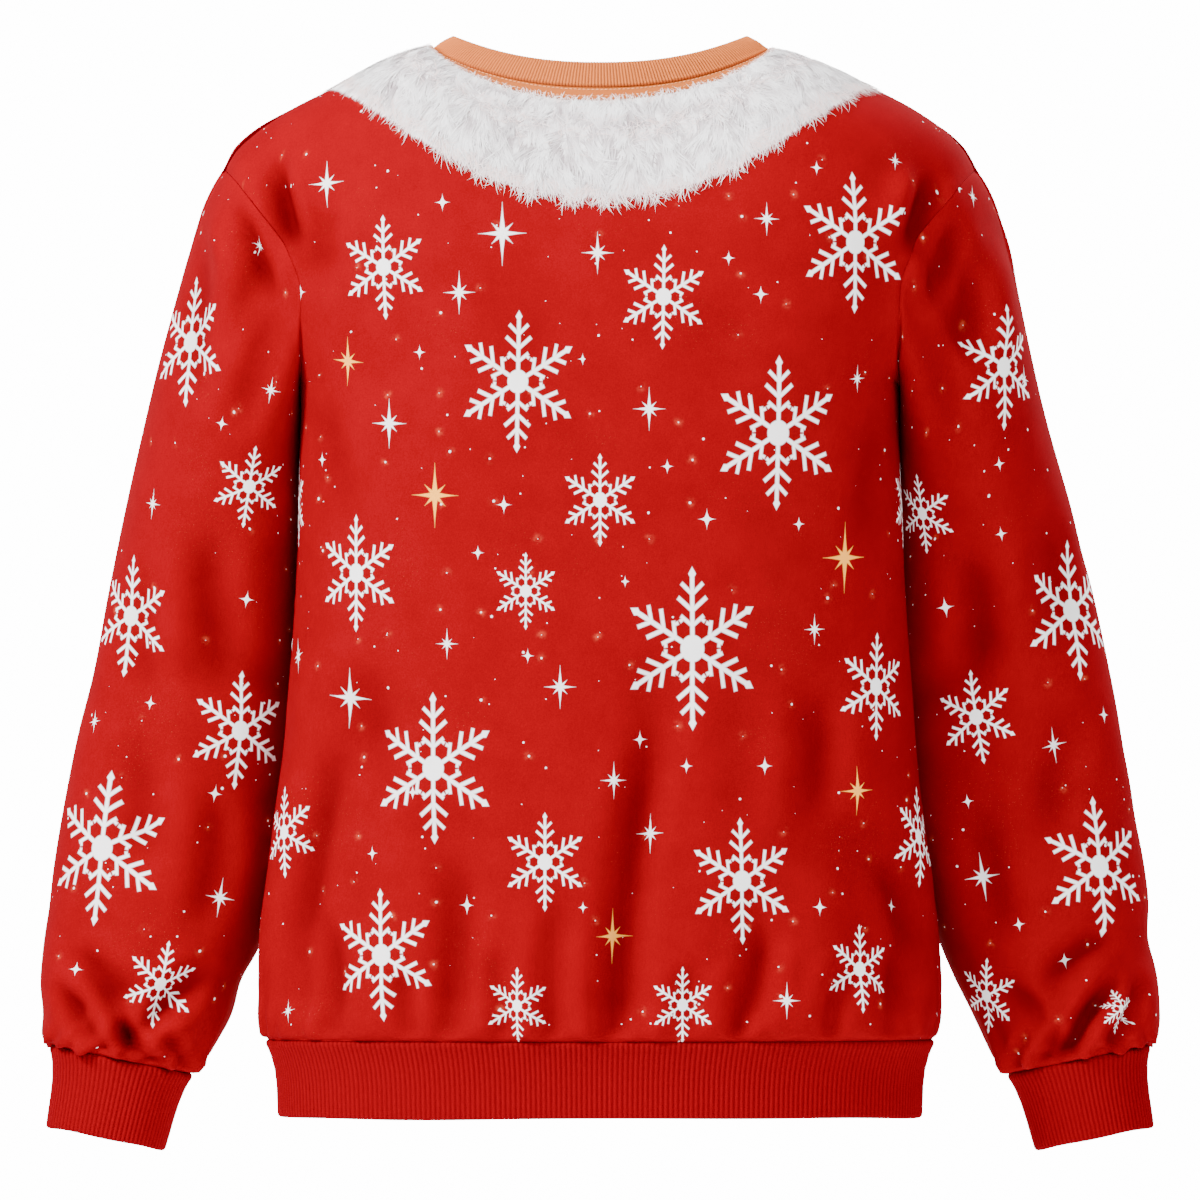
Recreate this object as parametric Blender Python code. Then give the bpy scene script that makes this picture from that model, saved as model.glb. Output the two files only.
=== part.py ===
"""A Christmas sweatshirt: a crew-neck pullover, filled out and hollow, as it hangs on a wearer.

The back faces -Y and the wearer's left sleeve is at -X. The origin is the middle of the neck,
level with the points where the shoulder seams meet the neck rib. Each cut piece is a thin wall:
an outer surface worked out from the tables below, and an inner one that follows it. All the
pieces are cut from one skin, so neighbours share their seam lines and lie SEAM_GAP apart.
Sizes are in millimetres up to the last step, which makes the meshes in metres.
"""

import math

import bmesh
import bpy
import numpy as np

METRES = 0.001

# The cloth
FLEECE_WALL = 2.0
RIB_WALL = 2.4
SEAM_GAP = 0.3
RIB_HEIGHT = 0.7
SHARPEST_CORNER = 0.3  # keeps a seam gap from growing without end at a sharp corner
SMOOTH_BELOW = 50.0  # degrees between faces

# The body
HEM_SEAM_Z = -647.0
HEM_Z = -697.5
ARMPIT_Z = -220.0
BODY_HALF_COLUMNS = 12
BODY_MIDDLE = np.array([0.0, 0.0, -300.0])
NECK_HALF_COLUMNS = 5

# The armhole: its height runs from the armpit to the shoulder tip
SHOULDER_TIP = (246.0, 0.0, -80.0)
ARMHOLE_STEPS = 8
ARMHOLE_BACK = 82.0
ARMHOLE_FRONT = 85.0
ARMHOLE_ROUNDNESS = 0.45
YOKE_ROUND_FROM = 0.75  # the share of the height where the shoulder starts to round over
YOKE_LEAVES = 1.0  # how strongly the rounding keeps the ways of its two ends
SEAM_ARRIVES = 1.15

# The neck seam and the neck rib's free edge
NECK_POINT = (110.0, 6.0, -2.6)
NECK_EDGE_POINT = (95.0, 6.0, 7.0)
NECK_BACK = {"seam_y": -62.0, "seam_z": -27.3, "edge_y": -54.0, "edge_z": -10.9, "climb": 46.0}
NECK_FRONT = {"seam_y": 88.0, "seam_z": -85.0, "edge_y": 76.0, "edge_z": -71.5, "climb": 58.0}
NECK_BACK_FLATNESS = 2.3
NECK_FRONT_FLATNESS = 1.6
NECK_SIDE_TILT = 16.0  # degrees: beside the neck the shoulder already slopes forward
NECK_RIBS = 300
HEM_RIBS = 320
CUFF_RIBS = 80
BAND_POINTS_PER_INNER = 8  # outer points for each point of a band's plain inner side
CUFF_POINTS_PER_INNER = 4

# Body sections, from the hem seam up
BODY_COLUMNS = ("z", "half_width", "back_depth", "front_depth", "power")
BODY_ROWS = (
    (-647.0, 217.8, 111.5, 112.5, 2.4),
    (-642.5, 219.6, 114.0, 115.0, 2.4),
    (-633.0, 222.2, 116.5, 117.5, 2.4),
    (-616.0, 222.8, 118.0, 119.0, 2.4),
    (-582.0, 221.2, 118.5, 120.0, 2.4),
    (-543.0, 215.7, 118.0, 120.0, 2.4),
    (-504.0, 210.8, 117.0, 119.0, 2.4),
    (-465.0, 206.6, 116.5, 118.5, 2.4),
    (-426.0, 203.8, 117.0, 118.5, 2.4),
    (-385.0, 200.5, 118.5, 119.0, 2.42),
    (-344.0, 198.0, 120.5, 120.5, 2.46),
    (-303.0, 196.2, 122.5, 122.0, 2.54),
    (-261.0, 195.5, 124.5, 123.5, 2.66),
    (-220.0, 195.6, 125.0, 124.0, 2.78),
)

# The upper body, by the share of the way from the armpit to the neck seam
YOKE_COLUMNS = ("share", "back_depth", "front_depth", "power")
YOKE_ROWS = (
    (0.0, 125.0, 124.0, 2.78),
    (0.25, 124.0, 124.0, 2.66),
    (0.5, 116.5, 119.0, 2.46),
    (0.75, 97.0, 107.0, 2.4),
    (1.0, 62.0, 88.0, 2.4),
)

# The armhole seam seen from behind
ARMHOLE_COLUMNS = ("z", "x")
ARMHOLE_ROWS = (
    (-220.0, 195.6),
    (-200.0, 194.6),
    (-178.0, 195.2),
    (-155.0, 198.0),
    (-132.0, 207.7),
    (-115.7, 217.7),
    (-102.0, 226.5),
    (-90.0, 236.5),
    (-80.0, 246.0),
)

# The shoulder line seen from behind
SHOULDER_COLUMNS = ("x", "z")
SHOULDER_ROWS = (
    (110.0, -2.6),
    (130.0, -7.5),
    (152.0, -16.5),
    (176.0, -28.0),
    (206.0, -42.4),
    (229.0, -57.0),
    (238.0, -66.0),
    (246.0, -80.0),
)

# Sleeve sections from the armhole to the cuff seam: the outer and the inner point, and the
# section's middle and half depth from front to back
SLEEVE_COLUMNS = ("outer_x", "outer_z", "inner_x", "inner_z", "middle_y", "half_depth")
SLEEVE_ROWS = (
    (246.0, -80.0, 195.6, -220.0, 1.0, 83.0),
    (256.0, -98.0, 196.8, -231.0, 8.0, 82.0),
    (269.0, -136.0, 196.8, -251.0, 19.0, 80.0),
    (283.5, -188.0, 195.6, -284.0, 31.0, 77.0),
    (298.5, -248.0, 194.2, -324.0, 43.0, 73.0),
    (313.0, -309.0, 193.2, -366.0, 53.0, 69.0),
    (326.0, -371.0, 193.4, -413.0, 60.0, 65.0),
    (339.0, -434.0, 196.0, -462.0, 63.0, 62.0),
    (350.0, -494.0, 202.5, -514.0, 63.0, 60.0),
    (359.0, -550.0, 215.5, -567.0, 60.0, 59.0),
    (364.5, -593.0, 231.5, -608.0, 56.0, 57.0),
    (366.8, -624.0, 245.0, -640.0, 50.0, 54.0),
    (366.2, -639.0, 253.5, -655.0, 46.0, 50.0),
    (363.5, -647.5, 260.5, -665.0, 43.0, 45.5),
    (359.0, -651.0, 266.5, -670.0, 41.0, 40.5),
)
SLEEVE_POWER = 2.15
SLEEVE_RINGS_ALONG = tuple(i * 0.05 for i in range(19)) + (0.93, 0.955, 0.98, 1.0)

# Cuff sections from the seam down
CUFF_ROWS = (
    (359.0, -651.0, 266.5, -670.0, 41.0, 40.5),
    (357.5, -663.0, 272.0, -680.5, 40.0, 38.0),
    (361.5, -705.0, 285.0, -720.0, 39.0, 35.5),
)

# Hem rib sections from the seam down: z, half width, back depth, front depth
HEM_ROWS = (
    (HEM_SEAM_Z, 217.6, 111.3, 112.3),
    (HEM_SEAM_Z - 17.0, 212.0, 106.5, 107.5),
    (HEM_Z, 209.4, 104.5, 105.5),
)

HEM_POWER = 2.4  # as the body's section at the seam

# Folds of the body: a line from its upper to its lower end, seen from behind on either panel.
# A depth above nothing is a trough, one below it a ridge.
BODY_FOLD_COLUMNS = ("panel", "x_top", "z_top", "x_foot", "z_foot", "half_width", "depth")
BODY_FOLDS = (
    ("back", -214.0, -78.0, -194.0, -140.0, 24.0, 8.0),
    ("back", 216.0, -84.0, 193.0, -140.0, 24.0, 7.0),
    ("back", -158.0, -440.0, -193.0, -615.0, 25.0, 9.0),
    ("back", -98.0, -520.0, -97.0, -630.0, 24.0, 6.0),
    ("back", 40.0, -425.0, 13.0, -634.0, 26.0, 8.0),
    ("back", 140.0, -430.0, 139.0, -520.0, 24.0, 5.0),
    ("back", 176.0, -520.0, 196.0, -600.0, 25.0, 8.0),
    ("back", 108.0, -565.0, 92.0, -630.0, 24.0, 6.0),
    ("front", -150.0, -170.0, -120.0, -260.0, 26.0, 6.0),
    ("front", 152.0, -175.0, 124.0, -255.0, 26.0, 6.0),
    ("front", -150.0, -430.0, -182.0, -610.0, 26.0, 8.0),
    ("front", -40.0, -500.0, -30.0, -632.0, 26.0, 6.0),
    ("front", 70.0, -450.0, 52.0, -632.0, 26.0, 8.0),
    ("front", 158.0, -470.0, 176.0, -600.0, 25.0, 7.0),
)

# Folds round a sleeve: where along it (0 armhole, 1 cuff seam), where round it (0 the inner
# side, 90 the back, 180 the outer side), how far they turn, and their size
SLEEVE_FOLD_COLUMNS = ("sleeve", "along", "slant", "round", "spread", "half_width", "depth")
SLEEVE_FOLDS = (
    ("left", 0.50, 0.04, 60.0, 75.0, 0.035, 5.0),
    ("left", 0.62, -0.05, 90.0, 70.0, 0.035, 4.0),
    ("left", 0.93, 0.03, 110.0, 80.0, 0.03, 6.0),
    ("left", 0.47, -0.03, 280.0, 70.0, 0.035, 6.0),
    ("left", 0.58, 0.04, 290.0, 70.0, 0.035, 5.0),
    ("left", 0.86, 0.03, 290.0, 80.0, 0.03, 5.0),
    ("right", 0.25, 0.0, 180.0, 60.0, 0.14, 6.0),
    ("right", 0.48, -0.05, 70.0, 70.0, 0.035, 5.0),
    ("right", 0.66, 0.04, 95.0, 70.0, 0.035, 4.0),
    ("right", 0.90, -0.04, 100.0, 85.0, 0.03, 6.0),
    ("right", 0.45, 0.03, 285.0, 70.0, 0.035, 6.0),
    ("right", 0.57, -0.04, 275.0, 70.0, 0.035, 5.0),
    ("right", 0.88, 0.03, 270.0, 80.0, 0.03, 5.0),
)

# Where folds fade out: shares of the panel or the sleeve, and a height above the hem seam
FOLD_SIDE_FADE = 0.3
FOLD_ARMHOLE_FROM = 0.05
FOLD_ARMHOLE_FADE = 0.15
FOLD_HEM_FADE = 30.0
SLEEVE_LOOP_FADE = 0.22
SLEEVE_FOLD_TOP_FADE = 0.12
SLEEVE_FOLD_CUFF_FADE = 0.04

SIDES = {"left": -1.0, "right": 1.0}
COLOURS = {
    "red_fleece": ((0.60, 0.006, 0.010), 0.95),
    "red_rib": ((0.50, 0.005, 0.009), 0.9),
    "peach_rib": ((0.75, 0.36, 0.18), 0.9),
}


# Curves and surfaces


def curve_through(knots, values, at):
    """A smooth curve through the values at the knots, read at other places."""
    knots, values = np.asarray(knots, float), np.asarray(values, float)
    at = np.asarray(at, float)
    slope = np.gradient(values, knots, axis=0)
    k = np.clip(np.searchsorted(knots, at, side="right") - 1, 0, len(knots) - 2)
    step = knots[k + 1] - knots[k]
    t = (at - knots[k]) / step
    if values.ndim > 1:
        step, t = step[..., None], t[..., None]
    return hermite(values[k], slope[k] * step, values[k + 1], slope[k + 1] * step, t)


def hermite(start, start_way, end, end_way, t):
    """A cubic from start to end that leaves and arrives along the two ways."""
    return (
        (1 + 2 * t) * (1 - t) ** 2 * start
        + t * (1 - t) ** 2 * start_way
        + t * t * (3 - 2 * t) * end
        + t * t * (t - 1) * end_way
    )


def unit(vectors):
    length = np.linalg.norm(vectors, axis=-1, keepdims=True)
    return vectors / np.maximum(length, 1e-9)


def smooth_step(x):
    x = np.clip(x, 0, 1)
    return x * x * (3 - 2 * x)


def along_lengths(points):
    steps = np.linalg.norm(np.diff(points, axis=0), axis=1)
    return np.concatenate([[0], np.cumsum(steps)])


def section(half_width, half_depth, power, angle):
    """How far out and how far back a rounded section reaches, at an angle from its back."""
    out = half_width * np.abs(np.sin(angle)) ** (2 / power) * np.sign(np.sin(angle))
    back = half_depth * np.clip(np.cos(angle), 0, 1) ** (2 / power)
    return out, back


def column(rows, names, name):
    return np.array([row[names.index(name)] for row in rows], float)


def named(rows, names):
    return [dict(zip(names, row)) for row in rows]


# The body


def across():
    """Places across a panel, -1 at one side, 0 at the middle and 1 at the other side."""
    return np.linspace(-1, 1, 2 * BODY_HALF_COLUMNS + 1)


def depth_name(panel):
    return f"{panel}_depth"


def lower_rows(panel, heights, places):
    """The panel below the armpits, as rows of points."""
    z = column(BODY_ROWS, BODY_COLUMNS, "z")
    width = curve_through(z, column(BODY_ROWS, BODY_COLUMNS, "half_width"), heights)
    depth = curve_through(z, column(BODY_ROWS, BODY_COLUMNS, depth_name(panel)), heights)
    power = curve_through(z, column(BODY_ROWS, BODY_COLUMNS, "power"), heights)
    angles = places * math.pi / 2
    out, back = section(width[:, None], depth[:, None], power[:, None], angles)
    facing = -1 if panel == "back" else 1
    return np.stack([out, facing * back, np.broadcast_to(heights[:, None], out.shape)], -1)


def neck_numbers(panel):
    return NECK_BACK if panel == "back" else NECK_FRONT


def neck_curve(panel, turn, line):
    """The neck's seam or edge: turn runs from 0 at the panel's middle to 90 degrees."""
    side_point = NECK_POINT if line == "seam" else NECK_EDGE_POINT
    numbers = neck_numbers(panel)
    middle_y, middle_z = numbers[f"{line}_y"], numbers[f"{line}_z"]
    if panel == "back":
        drop = 1 - np.abs(np.sin(turn)) ** NECK_BACK_FLATNESS
    else:
        drop = np.clip(np.cos(turn), 0, 1) ** NECK_FRONT_FLATNESS
    return np.stack(
        [
            side_point[0] * np.sin(turn),
            side_point[1] + (middle_y - side_point[1]) * np.cos(turn),
            side_point[2] + (middle_z - side_point[2]) * drop,
        ],
        -1,
    )


def top_line(panel, places):
    """The panel's top: the neck seam in the middle and a shoulder seam on each side."""
    neck_share = NECK_HALF_COLUMNS / BODY_HALF_COLUMNS
    size = np.abs(places)
    neck = neck_curve(panel, np.clip(size / neck_share, 0, 1) * math.pi / 2, "seam")
    line = np.stack([column(SHOULDER_ROWS, SHOULDER_COLUMNS, name) for name in ("x", "z")], -1)
    lengths = along_lengths(line)
    share = np.clip((size - neck_share) / (1 - neck_share), 0, 1)
    shoulder = curve_through(lengths, line, share * lengths[-1])
    ridge_y = NECK_POINT[1] + (SHOULDER_TIP[1] - NECK_POINT[1]) * share
    ridge = np.stack([shoulder[:, 0], ridge_y, shoulder[:, 1]], -1)
    points = np.where((size < neck_share)[:, None], neck, ridge)
    points[:, 0] *= np.where(places < 0, -1, 1)
    points[0, 0], points[-1, 0] = -SHOULDER_TIP[0], SHOULDER_TIP[0]
    return points


def yoke_row(panel, share, places):
    """One row of the upper body that still follows the body's rounded section."""
    facing = -1 if panel == "back" else 1
    top = top_line(panel, places)
    z = ARMPIT_Z + share * (top[:, 2] - ARMPIT_Z)
    edge_z = ARMPIT_Z + share * (SHOULDER_TIP[2] - ARMPIT_Z)
    edge_x = curve_through(
        column(ARMHOLE_ROWS, ARMHOLE_COLUMNS, "z"),
        column(ARMHOLE_ROWS, ARMHOLE_COLUMNS, "x"),
        edge_z,
    )
    reach = ARMHOLE_BACK if panel == "back" else ARMHOLE_FRONT
    edge_y = reach * (1 - (1 - 2 * share) ** 2) ** ARMHOLE_ROUNDNESS
    shares = column(YOKE_ROWS, YOKE_COLUMNS, "share")
    depth = curve_through(shares, column(YOKE_ROWS, YOKE_COLUMNS, depth_name(panel)), share)
    power = curve_through(shares, column(YOKE_ROWS, YOKE_COLUMNS, "power"), share)
    kept = (1 - (edge_y / depth) ** power) ** (1 / power)
    last_angle = math.asin(min(kept ** (power / 2), 1))
    out, back = section(edge_x / kept, depth, power, places * last_angle)
    return np.stack([out, facing * back, z], -1)


def round_over(panel, share, places):
    """One row of the shoulder, where the cloth turns over towards the seam on top."""
    facing = -1 if panel == "back" else 1
    near = 0.02
    start = yoke_row(panel, YOKE_ROUND_FROM, places)
    way = (start - yoke_row(panel, YOKE_ROUND_FROM - near, places)) / near
    end = top_line(panel, places)
    chord = np.linalg.norm(end - start, axis=1, keepdims=True)
    # At the neck the cloth still climbs; along the shoulder it arrives almost level
    neck_share = NECK_HALF_COLUMNS / BODY_HALF_COLUMNS
    size = np.abs(places)
    turn = np.clip(size / neck_share, 0, 1) * math.pi / 2
    tip_share = np.clip((size - neck_share) / (1 - neck_share), 0, 1)
    forward_tilt = facing * NECK_SIDE_TILT * np.sin(turn) * (1 - tip_share)
    climb = np.radians(np.cos(turn) * neck_numbers(panel)["climb"] + forward_tilt)
    arrive = np.stack([0 * climb, -facing * np.cos(climb), np.sin(climb)], -1)
    t = (share - YOKE_ROUND_FROM) / (1 - YOKE_ROUND_FROM)
    leave = unit(way) * chord * YOKE_LEAVES
    return hermite(start, leave, end, arrive * chord * SEAM_ARRIVES, t)


def upper_rows(panel, shares, places):
    """The panel between the armholes, as rows of points."""
    return np.stack(
        [
            yoke_row(panel, share, places)
            if share <= YOKE_ROUND_FROM
            else round_over(panel, share, places)
            for share in shares
        ]
    )


def armhole_shares():
    """Heights of the rows on the armhole, evenly round its loop."""
    turns = np.linspace(0, math.pi, ARMHOLE_STEPS + 1)
    return (1 - np.cos(turns)) / 2


def body_folds(panel, points):
    """How far each point sinks into the panel's folds."""
    depth = np.zeros(points.shape[:-1])
    for fold in named(BODY_FOLDS, BODY_FOLD_COLUMNS):
        if fold["panel"] != panel:
            continue
        start = np.array([fold["x_top"], fold["z_top"]])
        end = np.array([fold["x_foot"], fold["z_foot"]])
        flat = points[..., [0, 2]] - start
        length = np.linalg.norm(end - start)
        way = (end - start) / length
        run = flat @ way
        off = flat[..., 0] * way[1] - flat[..., 1] * way[0]
        past = np.maximum(np.maximum(-run, run - length), 0)
        depth += fold["depth"] * np.exp(-(off**2 + past**2) / fold["half_width"] ** 2)
    return depth


def fold_fade(points, places, shares):
    """Where folds may reach: not over the side, shoulder, hem and neck seams."""
    from_side = smooth_step((1 - np.abs(places)) / FOLD_SIDE_FADE)[None, :]
    on_armhole = smooth_step((shares - FOLD_ARMHOLE_FROM) / FOLD_ARMHOLE_FADE)[:, None]
    fade = np.maximum(from_side, on_armhole)
    fade = fade * smooth_step((points[..., 2] - HEM_SEAM_Z) / FOLD_HEM_FADE)
    fade[-1] = 0
    return fade


def body_panel(panel):
    """The outer surface of the front or back, rows from the hem seam to the top."""
    places = across()
    heights = column(BODY_ROWS, BODY_COLUMNS, "z")
    upper = armhole_shares()[1:]
    points = np.concatenate(
        [lower_rows(panel, heights, places), upper_rows(panel, upper, places)]
    )
    shares = np.concatenate([np.zeros(len(heights)), upper])
    normals = grid_normals(points)
    sunk = body_folds(panel, points) * fold_fade(points, places, shares)
    return points - normals * sunk[..., None]


# Sleeves and cuffs


def tube_section(row, turns):
    """A ring of points: turn 0 is the inner side, 90 the back and 180 the outer side."""
    outer_x, outer_z, inner_x, inner_z, middle_y, half_depth = row
    outer = np.array([outer_x, middle_y, outer_z])
    inner = np.array([inner_x, middle_y, inner_z])
    middle = (outer + inner) / 2
    along = -np.sign(np.cos(turns)) * np.abs(np.cos(turns)) ** (2 / SLEEVE_POWER)
    back = np.sign(np.sin(turns)) * np.abs(np.sin(turns)) ** (2 / SLEEVE_POWER)
    return (
        middle
        + along[:, None] * (outer - middle)
        + back[:, None] * half_depth * np.array([0, -1.0, 0])
    )


def sleeve_lengths():
    rows = {name: column(SLEEVE_ROWS, SLEEVE_COLUMNS, name) for name in SLEEVE_COLUMNS}
    x = (rows["outer_x"] + rows["inner_x"]) / 2
    z = (rows["outer_z"] + rows["inner_z"]) / 2
    lengths = along_lengths(np.stack([x, rows["middle_y"], z], -1))
    return lengths / lengths[-1]


def sleeve_folds(side, alongs, turns):
    depth = np.zeros((len(alongs), len(turns)))
    for fold in named(SLEEVE_FOLDS, SLEEVE_FOLD_COLUMNS):
        if fold["sleeve"] != side:
            continue
        turn = ((np.degrees(turns) - fold["round"] + 180) % 360 - 180) / fold["spread"]
        line = fold["along"] + fold["slant"] * turn
        off = (alongs[:, None] - line[None, :]) / fold["half_width"]
        depth += fold["depth"] * np.exp(-(off**2) - turn[None, :] ** 2)
    return depth


def sleeve(side, armhole):
    """The outer surface of a sleeve, rings from the armhole loop to the cuff seam."""
    around = len(armhole)
    turns = np.arange(around) * 2 * math.pi / around
    alongs = np.array(SLEEVE_RINGS_ALONG)
    rows = curve_through(sleeve_lengths(), np.array(SLEEVE_ROWS), alongs)
    rings = np.stack([tube_section(row, turns) for row in rows])
    # The rings below the armhole still take some of its curved loop
    fading = (1 - smooth_step(alongs / SLEEVE_LOOP_FADE))[:, None, None]
    rings += fading * (armhole - rings[0])
    fade = smooth_step(alongs / SLEEVE_FOLD_TOP_FADE)
    fade *= smooth_step((1 - alongs) / SLEEVE_FOLD_CUFF_FADE)
    sunk = sleeve_folds(side, alongs, turns) * fade[:, None]
    return rings - ring_normals(rings) * sunk[..., None]


def armhole_loop(back, front, side):
    """The armhole as if at +X: up the back from the armpit, then down the front."""
    first = len(BODY_ROWS) - 1
    edge = 0 if side == "left" else -1
    up = back[first:, edge]
    down = front[first:, edge][::-1][1:-1]
    return np.concatenate([up, down]) * [SIDES[side], 1, 1]


# Normals and walls


def grid_normals(points):
    """Normals of a body panel's grid, turned away from the middle of the body."""
    normals = unit(np.cross(np.gradient(points, axis=1), np.gradient(points, axis=0)))
    inward = np.sum(normals * (points - BODY_MIDDLE), -1) < 0
    normals[inward] *= -1
    return normals


def ring_normals(rings):
    """Normals of a tube of rings, turned away from each ring's middle."""
    around = (np.roll(rings, -1, axis=1) - np.roll(rings, 1, axis=1)) / 2
    normals = unit(np.cross(around, np.gradient(rings, axis=0)))
    out = rings - rings.mean(axis=1, keepdims=True)
    normals[np.sum(normals * out, -1) < 0] *= -1
    return normals


def quads_of_grid(rows, columns, closed):
    """Corner numbers of a grid's faces; a closed grid's last column meets its first."""
    wrap = columns if closed else columns - 1
    return [
        (
            r * columns + c,
            r * columns + (c + 1) % columns,
            (r + 1) * columns + (c + 1) % columns,
            (r + 1) * columns + c,
        )
        for r in range(rows - 1)
        for c in range(wrap)
    ]


class Skin:
    """The whole garment's outer surface, with points shared across its seams."""

    def __init__(self):
        self.points = []
        self.index = {}
        self.faces = {}
        self.square_to = {}

    def number(self, point):
        key = tuple(np.round(point, 3) + 0.0)
        if key not in self.index:
            self.index[key] = len(self.points)
            self.points.append(np.array(point, float))
        return self.index[key]

    def add(self, name, grid, closed=False):
        """A piece from its rows of points, with its faces turned out of the garment."""
        rows, columns = grid.shape[:2]
        numbers = [self.number(p) for p in grid.reshape(-1, 3)]
        corners = np.array(quads_of_grid(rows, columns, closed))
        at = grid.reshape(-1, 3)[corners]
        facing = np.cross(at[:, 2] - at[:, 0], at[:, 3] - at[:, 1])
        middle = grid.mean(axis=(0, 1)) if closed else BODY_MIDDLE
        if np.sum(facing * (at.mean(axis=1) - middle)) < 0:
            corners = corners[:, ::-1]
        self.faces[name] = [tuple(numbers[i] for i in quad) for quad in corners]

    def keep_square(self, points, axis):
        """A seam in one plane: the wall there stands square to the plane's axis."""
        for point in points:
            self.square_to[self.number(point)] = axis

    def finish(self):
        self.points = np.array(self.points)
        self.normals = np.zeros_like(self.points)
        for faces in self.faces.values():
            for face in faces:
                a, b, c, d = self.points[list(face)]
                self.normals[list(face)] += np.cross(c - a, d - b)
        self.normals = unit(self.normals)
        for number, axis in self.square_to.items():
            normal = self.normals[number]
            self.normals[number] = unit(normal - axis * (normal @ axis))

    def outline(self, name):
        """The piece's outline, as each corner's next one."""
        sides = {
            (a, b) for face in self.faces[name] for a, b in zip(face, face[1:] + face[:1])
        }
        return {a: b for a, b in sides if (b, a) not in sides}

    def seam_shift(self, name):
        """Moves a piece's outline in by half the seam gap, square to the outline."""
        outline = self.outline(name)
        before = {b: a for a, b in outline.items()}
        shift = {}
        for number, following in outline.items():
            normal, here = self.normals[number], self.points[number]
            inward = []
            for way in (self.points[following] - here, here - self.points[before[number]]):
                inward.append(unit(np.cross(normal, way - normal * (way @ normal))))
            straightness = max(1 + inward[0] @ inward[1], SHARPEST_CORNER)
            shift[number] = (inward[0] + inward[1]) / straightness * SEAM_GAP / 2
        return shift


def wall_mesh(skin, name, thickness):
    """A closed wall: the piece's outer surface, its inner surface and its rims."""
    faces = skin.faces[name]
    shift = skin.seam_shift(name)
    used = sorted({number for face in faces for number in face})
    outer = [skin.points[number] + shift.get(number, 0) for number in used]
    inner = [p - skin.normals[number] * thickness for p, number in zip(outer, used)]
    place = {number: i for i, number in enumerate(used)}
    count = len(used)
    built = [tuple(place[n] for n in face) for face in faces]
    built += [tuple(place[n] + count for n in face[::-1]) for face in faces]
    for a, b in skin.outline(name).items():
        built.append((place[b], place[a], place[a] + count, place[b] + count))
    return outer + inner, built


def close_ring(fine, coarse):
    """Faces that join a fine ring of corners to a coarse one with a share of its points."""
    share = len(fine) // len(coarse)
    faces = []
    for k, start in enumerate(coarse):
        end = coarse[(k + 1) % len(coarse)]
        run = [fine[(k * share + i) % len(fine)] for i in range(share + 1)]
        for i in range(share):
            faces.append((run[i], run[i + 1], start if i < share // 2 else end))
        faces.append((start, run[share // 2], end))
    return faces


def rib_mesh(rings, normals, points_per_inner):
    """A closed band: ribs raised on its outer points over a plain inner surface."""
    rows, around = rings.shape[:2]
    raised = np.where(np.arange(around) % 2 == 0, RIB_HEIGHT, 0.0)[None, :, None]
    outer = rings + normals * raised
    inner = (rings - normals * RIB_WALL)[:, ::points_per_inner]
    inner_around = inner.shape[1]
    first_inner = rows * around
    faces = quads_of_grid(rows, around, True)
    for quad in quads_of_grid(rows, inner_around, True):
        faces.append(tuple(first_inner + corner for corner in quad[::-1]))
    for row in (0, rows - 1):
        fine = [row * around + i for i in range(around)]
        coarse = [first_inner + row * inner_around + i for i in range(inner_around)]
        faces += close_ring(fine, coarse)
    return list(outer.reshape(-1, 3)) + list(inner.reshape(-1, 3)), faces


# Ribbed bands


def full_round(count):
    return np.arange(count) * 2 * math.pi / count


def hem_rings(count):
    """The hem rib's rings, from its seam to its free edge."""
    turns = full_round(count)
    rows = []
    for z, half_width, back, front in HEM_ROWS:
        out = np.sign(np.sin(turns)) * np.abs(np.sin(turns)) ** (2 / HEM_POWER)
        reach = np.where(np.cos(turns) > 0, -back, front)
        y = reach * np.abs(np.cos(turns)) ** (2 / HEM_POWER)
        rows.append(np.stack([half_width * out, y, np.full(count, z)], -1))
    return np.stack(rows)


def hem_rib():
    rings = hem_rings(2 * HEM_RIBS)
    rings[0, :, 2] -= SEAM_GAP / 2
    normals = ring_normals(rings)
    normals[0] = unit(normals[0] * [1, 1, 0])
    return rib_mesh(rings, normals, BAND_POINTS_PER_INNER)


def cuff_axis():
    """The way down the cuff at +X, square to its seam's plane."""
    outer_x, outer_z, inner_x, inner_z = CUFF_ROWS[0][:4]
    way = unit(np.array([outer_x - inner_x, 0, outer_z - inner_z]))
    return np.array([way[2], 0, -way[0]])


def cuff(side):
    turns = full_round(2 * CUFF_RIBS)
    rings = np.stack([tube_section(row, turns) for row in CUFF_ROWS])
    axis = cuff_axis()
    rings[0] += axis * SEAM_GAP / 2
    normals = ring_normals(rings)
    normals[0] = unit(normals[0] - axis * (normals[0] @ axis)[:, None])
    mirror = np.array([SIDES[side], 1, 1])
    return rib_mesh(rings * mirror, normals * mirror, CUFF_POINTS_PER_INNER)


def neck_rings(count):
    """The neck rib's seam ring and its free edge, from the centre back round."""
    turns = full_round(count)
    at_back = np.cos(turns) > 0
    lines = []
    for line in ("seam", "edge"):
        back = neck_curve("back", np.where(at_back, turns, 0), line)
        front = neck_curve("front", np.where(at_back, 0, math.pi - turns), line)
        lines.append(np.where(at_back[:, None], back, front))
    return np.stack(lines)


def on_chords(values, count):
    """Values at the corners of a ring, read evenly along its straight sides."""
    corners = len(values)
    place = np.arange(count) * corners / count
    k = np.floor(place + 1e-9).astype(int)
    t = (place - k)[:, None]
    return values[k % corners] * (1 - t) + values[(k + 1) % corners] * t


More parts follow.
